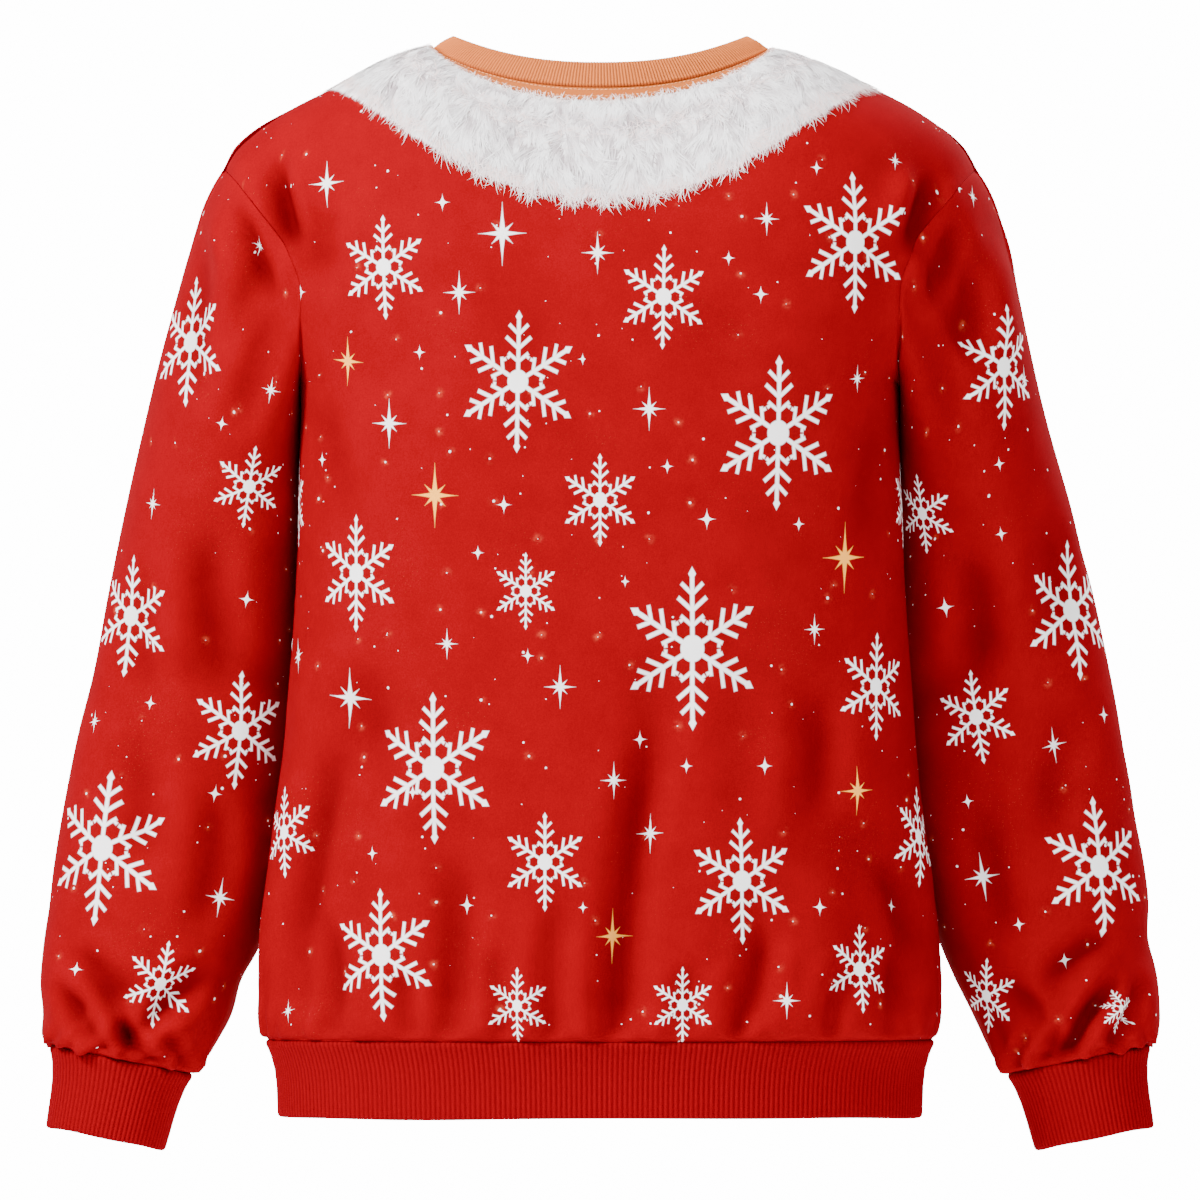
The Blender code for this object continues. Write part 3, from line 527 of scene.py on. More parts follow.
def round_over(panel, share, places):
    """One row of the shoulder, where the cloth turns over towards the seam on top."""
    facing = facing_of(panel)
    near = 0.02
    start = yoke_row(panel, YOKE_ROUND_FROM, places)
    way = (start - yoke_row(panel, YOKE_ROUND_FROM - near, places)) / near
    end = top_line(panel, places)
    chord = np.linalg.norm(end - start, axis=1, keepdims=True)
    size = np.abs(places)
    turn = np.clip(size / NECK_SHARE, 0, 1) * math.pi / 2
    tip_share = np.clip((size - NECK_SHARE) / (1 - NECK_SHARE), 0, 1)
    forward_tilt = facing * NECK_SIDE_TILT * np.sin(turn) * (1 - tip_share)
    climb = np.radians(np.cos(turn) * neck_numbers(panel)["climb"] + forward_tilt)
    arrive = np.stack([0 * climb, -facing * np.cos(climb), np.sin(climb)], -1)
    t = (share - YOKE_ROUND_FROM) / (1 - YOKE_ROUND_FROM)
    leave = unit(way) * chord * YOKE_LEAVES
    return hermite(start, leave, end, arrive * chord * SEAM_ARRIVES, t)


def upper_rows(panel, shares, places):
    """The panel between the armholes, as rows of points."""
    return np.stack(
        [
            yoke_row(panel, share, places)
            if share <= YOKE_ROUND_FROM
            else round_over(panel, share, places)
            for share in shares
        ]
    )


def line_coordinates(fold, points):
    """Along and across a fold's line as seen from behind, and its length."""
    start = np.array([fold["x_top"], fold["z_top"]])
    end = np.array([fold["x_foot"], fold["z_foot"]])
    length = np.linalg.norm(end - start)
    way = (end - start) / length
    flat = points[..., [0, 2]] - start
    return flat @ way, flat[..., 0] * way[1] - flat[..., 1] * way[0], length


def body_folds(panel, points):
    """How far each point sinks into the panel's main folds."""
    depth = np.zeros(points.shape[:-1])
    for fold in named(BODY_FOLDS[panel], FOLD_COLUMNS):
        run, off, length = line_coordinates(fold, points)
        past = np.maximum(np.maximum(-run, run - length), 0)
        depth += fold["depth"] * np.exp(-(off**2 + past**2) / fold["half_width"] ** 2)
    return depth


def fold_fade(points, places, shares):
    """Where main folds may reach: not over the side, shoulder, hem and neck seams."""
    from_side = smooth_step((1 - np.abs(places)) / FOLD_SIDE_FADE)[None, :]
    on_armhole = smooth_step((shares - FOLD_ARMHOLE_FROM) / FOLD_ARMHOLE_FADE)[:, None]
    fade = np.maximum(from_side, on_armhole)
    fade = fade * smooth_step((points[..., 2] - HEM_SEAM_Z) / FOLD_HEM_FADE)
    fade[-1] = 0
    return fade


def creases(piece, side, points):
    """How far each point sinks into its piece's creases on one side."""
    depth = np.zeros(points.shape[:-1])
    for crease in named(CREASES[piece, side], CREASE_COLUMNS):
        run, off, length = line_coordinates(crease, points)
        share = np.clip(run / length, 0, 1)
        off = (off - crease["bow"] * 4 * share * (1 - share)) / crease["half_width"]
        along = smooth_step(share / CREASE_LEAD)
        if crease["z_foot"] > CREASE_INTO_SEAM:
            along = along * smooth_step((1 - share) / CREASE_LEAD)
        bulges = np.exp(-((off - 2) ** 2)) + np.exp(-((off + 2) ** 2))
        trough = np.exp(-(off**2)) - CREASE_BULGE * bulges
        depth += CREASE_GAIN * crease["depth"] * along * trough
    return depth


def ripples(arc, distance, numbers):
    """Uneven waves along a seam that die away from it and leave the seam itself plain."""
    height, reach, wave = numbers
    phase = arc / wave
    waves = np.sin(phase) + 0.7 * np.sin(0.61 * phase + 1.1) + 0.5 * np.sin(1.37 * phase + 2.3)
    swell = 0.65 + 0.35 * np.sin(arc / 47 + 0.8)
    return height * swell * waves * smooth_step(distance / 6) * np.exp(-distance / reach)


def roll(arc, distance, numbers):
    """How far cloth bulges over a gathered seam, more in some places than in others."""
    height, fullest, wave = numbers
    phase = arc / wave
    waves = 0.66 + 0.35 * np.sin(phase + 0.4) + 0.3 * np.sin(0.53 * phase + 2.1)
    bell = (distance / fullest * np.exp(1 - distance / fullest)) ** 1.6
    return height * 0.75 * np.clip(waves, 0, None) ** 1.5 * bell


def soft_waves(x, z):
    """A slight unevenness of hanging cloth."""
    waves = np.sin(x / 31 + 0.4 * np.sin(z / 53)) * np.sin(z / 67 + 0.9)
    waves += 0.6 * np.sin((x + 0.7 * z) / 43 + 1.9) + 0.4 * np.sin((x - 0.5 * z) / 19 + 0.3)
    return SOFT_WAVES * waves


class Cloth:
    """A cut piece: a grid of points, its cloth coordinates, its seam distances and its
    painted-shade depth.
    """

    def __init__(self, name, grid, closed, cloth=None, seam_distance=None, sunk=None):
        self.name = name
        self.grid = grid
        self.closed = closed
        self.cloth = cloth
        self.seam_distance = seam_distance
        self.sunk = sunk
        self.quads = quads_of_grid(*grid.shape[:2], closed)


def gentle_normals(normals, heights):
    """Normals averaged over nearby rows, so that deep folds push no row across the next."""
    away = (heights[:, None] - heights[None, :]) / NORMAL_REACH
    nearby = np.exp(-(away**2)) * np.gradient(heights)
    return unit(np.einsum("ij,jkc->ikc", nearby, normals))


def body_panel(panel):
    """The front or back from the hem seam to the top."""
    places = across()
    heights = heights_of_rows()
    upper = armhole_shares()[1:]
    base = np.concatenate([lower_rows(panel, heights, places), upper_rows(panel, upper, places)])
    shares = np.concatenate([np.zeros(len(heights)), upper])
    row_arc = along_lengths(base, axis=1)
    u = row_arc - row_arc[:, [row_arc.shape[1] // 2]]
    v = along_lengths(base, axis=0)
    normals = gentle_normals(grid_normals(base), v.mean(axis=1))
    from_sides = np.minimum(row_arc, row_arc[:, [-1]] - row_arc)
    from_hem, from_top = v, v[-1] - v

    main = body_folds(panel, base) * fold_fade(base, places, shares)
    free = smooth_step(from_top / CREASE_SEAM_FADE) * smooth_step(from_hem / CREASE_SEAM_FADE)
    on_armhole = smooth_step(shares / FOLD_ARMHOLE_FADE)[:, None]
    off_side = np.maximum(smooth_step(from_sides / CREASE_SEAM_FADE), on_armhole)
    near_side = smooth_step(from_sides / SEAM_CROSSING)
    small = creases(panel, panel, base) * free * off_side
    small += ripples(u, from_hem, HEM_GATHERS) * near_side
    sunk = main + small + soft_waves(u, v) * free * smooth_step(from_sides / WAVES_FADE)
    side_pucker = ripples(v, from_sides, SEAM_PUCKERS) * smooth_step(from_hem / WAVES_FADE)
    sunk += side_pucker * smooth_step(from_top / SEAM_CROSSING)
    bulge = roll(u, from_hem, HEM_ROLL) * near_side
    grid = base + normals * (bulge - sunk)[..., None]
    grid[..., 2] -= ROLL_HANGS * bulge
    distance = np.minimum(from_sides, np.minimum(from_hem, from_top))
    # The last value is the depth that sets the painted shade of creases and folds
    return Cloth(panel, grid, False, np.stack([u, v], -1), distance, small + MAIN_SHADE * main)


# Sleeves and cuffs


def tube_section(row, turns):
    """A ring of points: turn 0 is the inner side, 90 the back and 180 the outer side."""
    outer_x, outer_z, inner_x, inner_z, middle_y, half_depth = row
    outer = np.array([outer_x, middle_y, outer_z])
    inner = np.array([inner_x, middle_y, inner_z])
    middle = (outer + inner) / 2
    along = -np.sign(np.cos(turns)) * np.abs(np.cos(turns)) ** (2 / SLEEVE_POWER)
    back = np.sign(np.sin(turns)) * np.abs(np.sin(turns)) ** (2 / SLEEVE_POWER)
    depth_way = np.array([0, -1.0, 0])
    return middle + along[:, None] * (outer - middle) + back[:, None] * half_depth * depth_way


def sleeve_middle_lengths():
    """Lengths from the armhole on, along the middle of the sleeve."""
    outer_x, outer_z, inner_x, inner_z, middle_y, _ = np.array(SLEEVE_ROWS, float).T
    middle = [(outer_x + inner_x) / 2, middle_y, (outer_z + inner_z) / 2]
    return along_lengths(np.stack(middle, -1))


def sleeve_alongs():
    """Shares of the sleeve's length, closer together beside its two seams."""
    length = sleeve_middle_lengths()[-1]
    edge = np.array(EDGE_ROWS)
    count = round((length - 2 * edge[-1]) / SLEEVE_STEP)
    even = np.linspace(edge[-1], length - edge[-1], count + 1)
    return np.concatenate([edge[:-1], even, length - edge[:-1][::-1]]) / length


def sleeve_folds(side, alongs, turns):
    """How far each point sinks into the sleeve's main folds."""
    depth = np.zeros((len(alongs), len(turns)))
    for fold in named(SLEEVE_FOLDS[side], SLEEVE_FOLD_COLUMNS):
        turn = ((np.degrees(turns) - fold["round"] + 180) % 360 - 180) / fold["spread"]
        line = fold["along"] + fold["slant"] * turn
        off = (alongs[:, None] - line[None, :]) / fold["half_width"]
        depth += fold["depth"] * np.exp(-(off**2) - turn[None, :] ** 2)
    return depth


def armhole_loop(back, front, side):
    """The armhole as if at +X: up the back from the armpit, then down the front."""
    first = len(heights_of_rows()) - 1
    edge = 0 if side == "left" else -1
    up = back[first:, edge]
    down = front[first:, edge][::-1][1:-1]
    return np.concatenate([up, down]) * [SIDES[side], 1, 1]


def sleeve(side, armhole):
    """A sleeve's rings from the armhole loop to the cuff seam."""
    name = f"sleeve_{side}"
    around = len(armhole)
    turns = full_round(around)
    alongs = sleeve_alongs()
    lengths = sleeve_middle_lengths()
    rows = curve_through(lengths / lengths[-1], np.array(SLEEVE_ROWS), alongs)
    rings = np.stack([tube_section(row, turns) for row in rows])
    fading = (1 - smooth_step(alongs / SLEEVE_LOOP_FADE))[:, None, None]
    rings += fading * (armhole - rings[0])
    mirror = np.array([SIDES[side], 1, 1])

    normals = ring_normals(rings)
    from_armhole = np.broadcast_to((alongs * lengths[-1])[:, None], rings.shape[:2])
    from_cuff = lengths[-1] - from_armhole
    arc = along_lengths(np.concatenate([rings, rings[:, :1]], axis=1), axis=1)
    whole = arc[:, [-1]]
    arc = arc[:, :-1]
    from_underarm = np.minimum(arc, whole - arc)
    off_underarm = smooth_step(from_underarm / UNDERARM_FADE)
    free = smooth_step(from_armhole / CREASE_SEAM_FADE) * smooth_step(from_cuff / CREASE_SEAM_FADE)
    faced = smooth_step(np.abs(np.sin(turns)) / GATHERS_FACE)[None, :]

    fade = smooth_step(alongs / SLEEVE_FOLD_TOP_FADE)
    fade = fade * smooth_step((1 - alongs) / SLEEVE_FOLD_CUFF_FADE)
    main = sleeve_folds(side, alongs, turns) * fade[:, None]
    small = np.zeros(rings.shape[:2])
    for facing in ("back", "front"):
        toward = smooth_step(facing_of(facing) * normals[..., 1] / CREASES_FACE)
        small += creases(name, facing, rings * mirror) * toward * free
    small += ripples(arc, from_cuff, CUFF_GATHERS) * faced
    waves = soft_waves(arc + WAVES_APART * SIDES[side], from_armhole)
    sunk = main + small + waves * free * off_underarm
    sunk += ripples(from_armhole, from_underarm, SEAM_PUCKERS) * free
    sunk += ripples(arc, from_armhole, SEAM_PUCKERS) * off_underarm
    bulge = roll(arc, from_cuff, CUFF_ROLL) * faced

    # Beside the body the sleeve stays plain, so that it keeps close to it
    beside = np.exp(-((np.minimum(turns, 2 * math.pi - turns) / BESIDE_TURN) ** 2))[None, :]
    starts, ends = smooth_step(alongs / 0.06), smooth_step((0.6 - alongs) / 0.2)
    beside = beside * (starts * ends)[:, None]
    sunk *= 1 - beside
    bulge += BESIDE_PUSH * beside
    grid = rings + normals * (bulge - sunk)[..., None]
    hang = ROLL_HANGS * bulge * smooth_step(1 - from_cuff / HANG_REACH)
    grid = (grid + cuff_axis() * hang[..., None]) * mirror

    u = (arc - arc[:, [around // 4]]) * SIDES[side]
    half = whole / 2
    cloth = np.stack([(u + half) % whole - half, -from_armhole], -1)
    distance = np.minimum(np.minimum(from_armhole, from_cuff), from_underarm)
    # The last value is the depth that sets the painted shade of creases and folds
    return Cloth(name, grid, True, cloth, distance, (small + MAIN_SHADE * main) * (1 - beside))


# Normals, seams and walls


def grid_normals(points):
    """Normals of a body panel's grid, turned away from the middle of the body."""
    normals = unit(np.cross(np.gradient(points, axis=1), np.gradient(points, axis=0)))
    inward = np.sum(normals * (points - BODY_MIDDLE), -1) < 0
    normals[inward] *= -1
    return normals


def ring_normals(rings):
    """Normals of a tube of rings, turned away from each ring's middle."""
    around = (np.roll(rings, -1, axis=1) - np.roll(rings, 1, axis=1)) / 2
    normals = unit(np.cross(around, np.gradient(rings, axis=0)))
    out = rings - rings.mean(axis=1, keepdims=True)
    normals[np.sum(normals * out, -1) < 0] *= -1
    return normals


def full_round(count):
    return np.arange(count) * 2 * math.pi / count


def quads_of_grid(rows, columns, closed, ends_meet=False):
    """A grid's faces. A closed one's last column meets its first, and so may its last row."""
    r = np.arange(rows if ends_meet else rows - 1)[:, None]
    c = np.arange(columns if closed else columns - 1)[None, :]
    here, below, after = r * columns, (r + 1) % rows * columns, (c + 1) % columns
    return np.stack([here + c, here + after, below + after, below + c], -1).reshape(-1, 4)


def face_ways(points, quads):
    """The way that each face looks, longer for a larger face."""
    corners = points[quads]
    return np.cross(corners[:, 2] - corners[:, 0], corners[:, 3] - corners[:, 1])


def look_inward(points, quads, middle):
    """Whether faces look towards a middle point on the whole."""
    return np.sum(face_ways(points, quads) * (points[quads].mean(axis=1) - middle)) < 0


def cuff_axis():
    """The way down the cuff at +X, square to its seam's plane."""
    outer_x, outer_z, inner_x, inner_z = CUFF_ROWS[0][:4]
    way = unit(np.array([outer_x - inner_x, 0, outer_z - inner_z]))
    return np.array([way[2], 0, -way[0]])


def square_to(normals, axis):
    """Normals turned square to an axis."""
    return unit(normals - axis * np.sum(normals * axis, -1, keepdims=True))


def share_normals(cloths):
    """Normals that neighbouring pieces agree on along their seams."""
    points = np.concatenate([cloth.grid.reshape(-1, 3) for cloth in cloths])
    _, first, same = np.unique(
        np.round(points, 3) + 0.0, axis=0, return_index=True, return_inverse=True
    )
    same = same.reshape(-1)
    sums = np.zeros((len(first), 3))
    start = 0
    for cloth in cloths:
        own = cloth.grid.reshape(-1, 3)
        if look_inward(own, cloth.quads, own.mean(axis=0) if cloth.closed else BODY_MIDDLE):
            cloth.quads = cloth.quads[:, ::-1]
        facing = face_ways(own, cloth.quads)
        for k in range(4):
            np.add.at(sums, same[cloth.quads[:, k] + start], facing)
        start += len(own)
    normals = unit(sums)[same]
    start = 0
    for cloth in cloths:
        count = len(cloth.grid.reshape(-1, 3))
        cloth.normals = normals[start : start + count].reshape(cloth.grid.shape)
        start += count


def open_seams(cloth):
    """Moves a piece's edges in by half the seam gap, less where its rows are very close."""
    grid = cloth.grid
    moved = grid.copy()
    edges = [(np.s_[0], np.s_[1]), (np.s_[-1], np.s_[-2])]
    if not cloth.closed:
        edges += [(np.s_[:, 0], np.s_[:, 1]), (np.s_[:, -1], np.s_[:, -2])]
    for edge, inside in edges:
        way = grid[inside] - grid[edge]
        length = np.linalg.norm(way, axis=-1, keepdims=True)
        moved[edge] += unit(way) * np.minimum(SEAM_GAP / 2, MOST_MOVED * length)
    cloth.grid = moved


def outer_side(cloth):
    """The cloth's outer side, which dips where it rolls into a seam."""
    dip = SEAM_DIP * np.exp(-((cloth.seam_distance[..., None] / SEAM_SOFT) ** 2))
    return cloth.grid - cloth.normals * dip, dip


def wall_of(cloth):
    """A closed wall: outer points, then inner points, and the faces' materials."""
    half = ALLOWANCE_WIDTH / 2
    edge = np.exp(-(((cloth.seam_distance[..., None] - half) / half) ** 4))
    outer, dip = outer_side(cloth)
    inner = cloth.grid - cloth.normals * (FLEECE_WALL + ALLOWANCE_HEIGHT * edge * (dip < SEAM_DIP))
    rows, columns = cloth.grid.shape[:2]
    count = rows * columns
    rims = [loop_faces(loop, count) for loop in outline_loops(rows, columns, cloth.closed)]
    faces = np.concatenate([cloth.quads, cloth.quads[:, ::-1] + count] + rims)
    slots = np.zeros(len(faces), int)
    slots[len(cloth.quads) : 2 * len(cloth.quads)] = 1
    return np.concatenate([outer.reshape(-1, 3), inner.reshape(-1, 3)]), faces, slots


def outline_loops(rows, columns, closed):
    """The grid's outlines as loops of point numbers."""
    numbers = np.arange(rows * columns).reshape(rows, columns)
    if closed:
        return [numbers[0], numbers[-1]]
    around = [numbers[0, :-1], numbers[:-1, -1], numbers[-1, :0:-1], numbers[:0:-1, 0]]
    return [np.concatenate(around)]


def loop_faces(loop, count):
    """The faces of a rim, from a loop of outer points to the inner points under them."""
    after = np.roll(loop, -1)
    return np.stack([loop, after, after + count, loop + count], -1)


# Print


def motif_spots(cloth, found, side):
    """The middles of motifs on the cloth, from where they are seen on one side, and normals."""
    points, normals = cloth.grid.reshape(-1, 3), cloth.normals.reshape(-1, 3)
    seen = facing_of(side) * normals[:, 1] > JUST_SEEN
    points, normals = points[seen], normals[seen]
    spots = []
    for row in found:
        off = np.linalg.norm(points[:, [0, 2]] - [row["x"], row["z"]], axis=1)
        near = np.argsort(off)[:NEAREST_POINTS]
        covered = off < max(0.7 * row["half_height"], np.sort(off)[FEWEST_COVERED])
        spots.append((points[near].mean(axis=0), unit(normals[covered].mean(axis=0))))
    return spots


def motifs_on(cloth, side, kinds):
    """The motifs of some kinds on one side of a piece. The front turns the back's print round."""
    source = cloth.name.removeprefix("sleeve_") if cloth.closed else "body"
    turned = side == "front"
    if turned:
        source = {"body": "body", "left": "right", "right": "left"}[source]
    return [
        {
            "x": -x if turned else x,
            "z": z,
            "half_height": half_height,
            "tilt": math.radians(sum(tilt) + LEANS.get(source, 0.0)),
            "kind": number,
        }
        for kind, number in kinds.items()
        for x, z, half_height, *tilt in MOTIFS[source].get(kind, ())
    ]


def layer_of(cloth, kinds, squeeze):
    """Local coordinates for each face corner in the frame of the nearest motif, and its kind."""
    points = cloth.grid.reshape(-1, 3)
    corners = points[cloth.quads]
    middles = corners.mean(axis=1)
    outward = unit(face_ways(points, cloth.quads))
    layer = np.full(cloth.quads.shape + (3,), NO_MOTIF)
    nearest = np.full(len(cloth.quads), MOTIF_REACH)
    for side in ("back", "front") if cloth.closed else (cloth.name,):
        found = motifs_on(cloth, side, kinds)
        for motif, (spot, normal) in zip(found, motif_spots(cloth, found, side)):
            size = motif["half_height"]
            share = np.linalg.norm(middles - spot, axis=1) / size
            mine = (share < nearest) & (outward @ normal > 0)
            nearest[mine] = share[mine]
            up = unit(np.array([0, normal[2], -normal[1]])) * -facing_of(side)
            off = corners[mine] - spot
            flat = np.stack([off @ np.cross(up, normal), off @ up], -1)
            # Lengths are kept over a bend, where the flat view would shorten them
            full = np.linalg.norm(off, axis=-1, keepdims=True)
            flat *= full / (np.linalg.norm(flat, axis=-1, keepdims=True) + 1e-6)
            x, y = flat[..., 0], flat[..., 1]
            cos, sin = math.cos(motif["tilt"]), math.sin(motif["tilt"])
            x, y = (x * cos - y * sin) / (size * squeeze), (x * sin + y * cos) / size
            layer[mine] = np.stack([x, y, np.full(x.shape, motif["kind"])], -1)
    return layer


def corner_layer(mesh, name, values, total_corners):
    """Writes a layer of vectors for the first faces' corners; the rest are outside motifs."""
    attribute = mesh.attributes.new(name, "FLOAT_VECTOR", "CORNER")
    full = np.full((total_corners, 3), NO_MOTIF)
    flat = values.reshape(-1, 3)
    full[: len(flat)] = flat
    attribute.data.foreach_set("vector", full.reshape(-1).astype(np.float32))


def point_layer(mesh, name, values, kind="FLOAT_VECTOR"):
    """Writes a layer of values for the mesh's points."""
    attribute = mesh.attributes.new(name, kind, "POINT")
    field = {"FLOAT_VECTOR": "vector", "FLOAT_COLOR": "color", "FLOAT": "value"}[kind]
    attribute.data.foreach_set(field, np.asarray(values, np.float32).reshape(-1))


# Shader nodes


class Value:
    """A node's output that adds, subtracts, multiplies and divides like a number."""

    def __init__(self, nodes, socket):
        self.nodes, self.socket = nodes, socket

    def __add__(self, other):
        return self.nodes.math("ADD", self, other)

    def __sub__(self, other):
        return self.nodes.math("SUBTRACT", self, other)

    def __rsub__(self, other):
        return self.nodes.math("SUBTRACT", other, self)

    def __mul__(self, other):
        return self.nodes.math("MULTIPLY", self, other)

    def __truediv__(self, other):
        return self.nodes.math("DIVIDE", self, other)

    def __abs__(self):
        return self.nodes.math("ABSOLUTE", self)


class Nodes:
    """Short calls that add nodes to a tree and join them."""

    def __init__(self, tree):
        self.tree = tree

    def add(self, kind, inputs=(), **settings):
        """A node with its settings, and its inputs in order or, in a dict, by name."""
        node = self.tree.nodes.new(kind)
        for name, value in settings.items():
            setattr(node, name, value)
        for key, value in inputs.items() if isinstance(inputs, dict) else enumerate(inputs):
            self.put(node.inputs[key], value)
        return node

    def put(self, socket, value):
        if isinstance(value, Value):
            self.tree.links.new(value.socket, socket)
        elif isinstance(value, tuple) and len(value) == 3 and socket.type == "RGBA":
            socket.default_value = (*value, 1)
        else:
            socket.default_value = value

    def out(self, node, output=0):
        return Value(self, node.outputs[output])

    def math(self, operation, *values, clamp=False):
        return self.out(self.add("ShaderNodeMath", values, operation=operation, use_clamp=clamp))

    def vector(self, operation, *values):
        node = self.add("ShaderNodeVectorMath", values, operation=operation)
        return self.out(node, "Value" if operation in ("DOT_PRODUCT", "LENGTH") else "Vector")

    def largest(self, values):
        result = values[0]
        for value in values[1:]:
            result = self.math("MAXIMUM", result, value)
        return result

    def step(self, value, low, high):
        """0 below low and 1 above high, smooth between them."""
        inputs = {"Value": value, "From Min": low, "From Max": high}
        return self.out(self.add("ShaderNodeMapRange", inputs, interpolation_type="SMOOTHSTEP"))

    def mix(self, factor, under, over):
        """One colour over another. The colours are a mix node's sockets 6 and 7."""
        return self.out(
            self.add("ShaderNodeMix", {0: factor, 6: under, 7: over}, data_type="RGBA"), 2
        )

    def attribute(self, name, output="Vector"):
        return self.out(self.add("ShaderNodeAttribute", attribute_name=name), output)

    def separate(self, vector):
        node = self.add("ShaderNodeSeparateXYZ", (vector,))
        return [self.out(node, k) for k in range(3)]

    def combine(self, x, y, z=0.0):
        return self.out(self.add("ShaderNodeCombineXYZ", (x, y, z)))

    def space(self):
        return self.out(self.add("ShaderNodeTexCoord"), "Object")

    def noise(self, vector, scale, detail=2.0, roughness=0.5):
        inputs = {"Vector": vector, "Scale": scale, "Detail": detail, "Roughness": roughness}
        return self.out(self.add("ShaderNodeTexNoise", inputs), "Fac")


def new_group(name, output_names):
    """An empty node group that takes one vector."""
    group = bpy.data.node_groups.new(name, "ShaderNodeTree")
    group.interface.new_socket("Vector", in_out="INPUT", socket_type="NodeSocketVector")
    for output in output_names:
        group.interface.new_socket(output, in_out="OUTPUT", socket_type="NodeSocketFloat")
    nodes = Nodes(group)
    start = nodes.out(nodes.add("NodeGroupInput"))
    return group, nodes, start, nodes.add("NodeGroupOutput").inputs


def bar(nodes, point, start, end, half_width):
    """How far a point lies inside a straight bar with square ends."""
    (x0, y0), (x1, y1) = start, end
    length = math.hypot(x1 - x0, y1 - y0)
    way_x, way_y = (x1 - x0) / length, (y1 - y0) / length
    off = nodes.vector("SUBTRACT", point, (x0, y0, 0.0))
    along = nodes.vector("DOT_PRODUCT", off, (way_x, way_y, 0.0))
    side = abs(nodes.vector("DOT_PRODUCT", off, (-way_y, way_x, 0.0)))
    within = nodes.math("MINIMUM", along, length - along)
    return nodes.math("MINIMUM", within, half_width - side)


# A snowflake's twelfth, with the arm along x: bars as start, end and half width
FLAKE_BARS = (
    ((-0.05, 0.0), (0.93, 0.0), 0.028),
    ((0.28, 0.0), (0.40, 0.16), 0.023),
    ((0.33, 0.175), (0.38, 0.11), 0.021),
    ((0.465, 0.0), (0.625, 0.2), 0.026),
    ((0.665, 0.0), (0.80, 0.152), 0.024),
)
FLAKE_DISC = 0.165
FLAKE_TIP = (0.915, 0.085, 0.052)  # middle, half length and half width of the lozenge
PRINT_EDGE = 0.012


def snowflake_group():
    """A six-armed snowflake of radius 1, drawn from its twelfth part."""
    group, nodes, vector, outputs = new_group("Snowflake", ["Mask"])
    x, y, _ = nodes.separate(vector)
    twelfth = math.pi / 6
    folded = abs(nodes.math("WRAP", nodes.math("ARCTAN2", x, y), twelfth, -twelfth))
    radius = nodes.vector("LENGTH", nodes.combine(x, y))
    along = radius * nodes.math("COSINE", folded)
    out = radius * nodes.math("SINE", folded)
    point = nodes.combine(along, out)
    insides = [bar(nodes, point, *numbers) for numbers in FLAKE_BARS]
    middle, half_length, half_width = FLAKE_TIP
    tip = (1.0 - abs(along - middle) / half_length) * half_width - out
    inside = nodes.largest(insides + [FLAKE_DISC - radius, tip])
    nodes.put(outputs["Mask"], nodes.step(inside, -PRINT_EDGE, PRINT_EDGE))
    return group


# The rays of a star: which way they run, length, half width and how fast they taper
STAR_RAYS = (
    ("up", 1.0, 0.105, 1.5),
    ("level", 0.74, 0.105, 1.5),
    ("rising", 0.46, 0.085, 1.2),
    ("falling", 0.46, 0.085, 1.2),
)
SMALL_STAR_RAYS = (("up", 1.0, 0.34, 2.2), ("level", 0.85, 0.34, 2.2))
STAR_DISC, SMALL_STAR_DISC = 0.135, 0.27
STAR_EDGE = 0.02


def star_group():
    """A sparkle with long upright, level and short slanting rays, and a four-rayed small one."""
    group, nodes, vector, outputs = new_group("Sparkle", ["White", "Gold"])
    x, y, kind = nodes.separate(vector)
    root = math.sqrt(0.5)
    up_slant, down_slant = (x + y) * root, (x - y) * root
    radius = nodes.vector("LENGTH", nodes.combine(x, y))
    ways = {"up": (y, x), "level": (x, y)}
    ways |= {"rising": (up_slant, down_slant), "falling": (down_slant, up_slant)}

    def ray(way, length, half_width, power):
        along, out = ways[way]
        left = nodes.math("SUBTRACT", 1.0, abs(along) / length, clamp=True)
        inside = nodes.math("POWER", left, power) * half_width - abs(out)
        return nodes.math("MINIMUM", inside, length - abs(along))

    def star(rays, disc):
        return nodes.largest([ray(*numbers) for numbers in rays] + [disc - radius])

    is_small = nodes.math("GREATER_THAN", kind, STAR_KINDS["small"] - 0.5)
    stars = {0: is_small, 2: star(STAR_RAYS, STAR_DISC), 3: star(SMALL_STAR_RAYS, SMALL_STAR_DISC)}
    chosen = nodes.out(nodes.add("ShaderNodeMix", stars, data_type="FLOAT"))
    is_motif = nodes.math("LESS_THAN", kind, NO_MOTIF - 1)
    mask = nodes.step(chosen, -STAR_EDGE, STAR_EDGE) * is_motif
    is_gold = nodes.math("COMPARE", kind, STAR_KINDS["gold"], 0.3)
    nodes.put(outputs["Gold"], mask * is_gold)
    nodes.put(outputs["White"], mask * (1.0 - is_gold))
    return group


def use_group(nodes, group, name):
    """A group's outputs, read at the coordinates of a layer."""
    node = nodes.add("ShaderNodeGroup", node_tree=group)
    nodes.put(node.inputs[0], nodes.attribute(name))
    return {output.name: Value(nodes, output) for output in node.outputs}


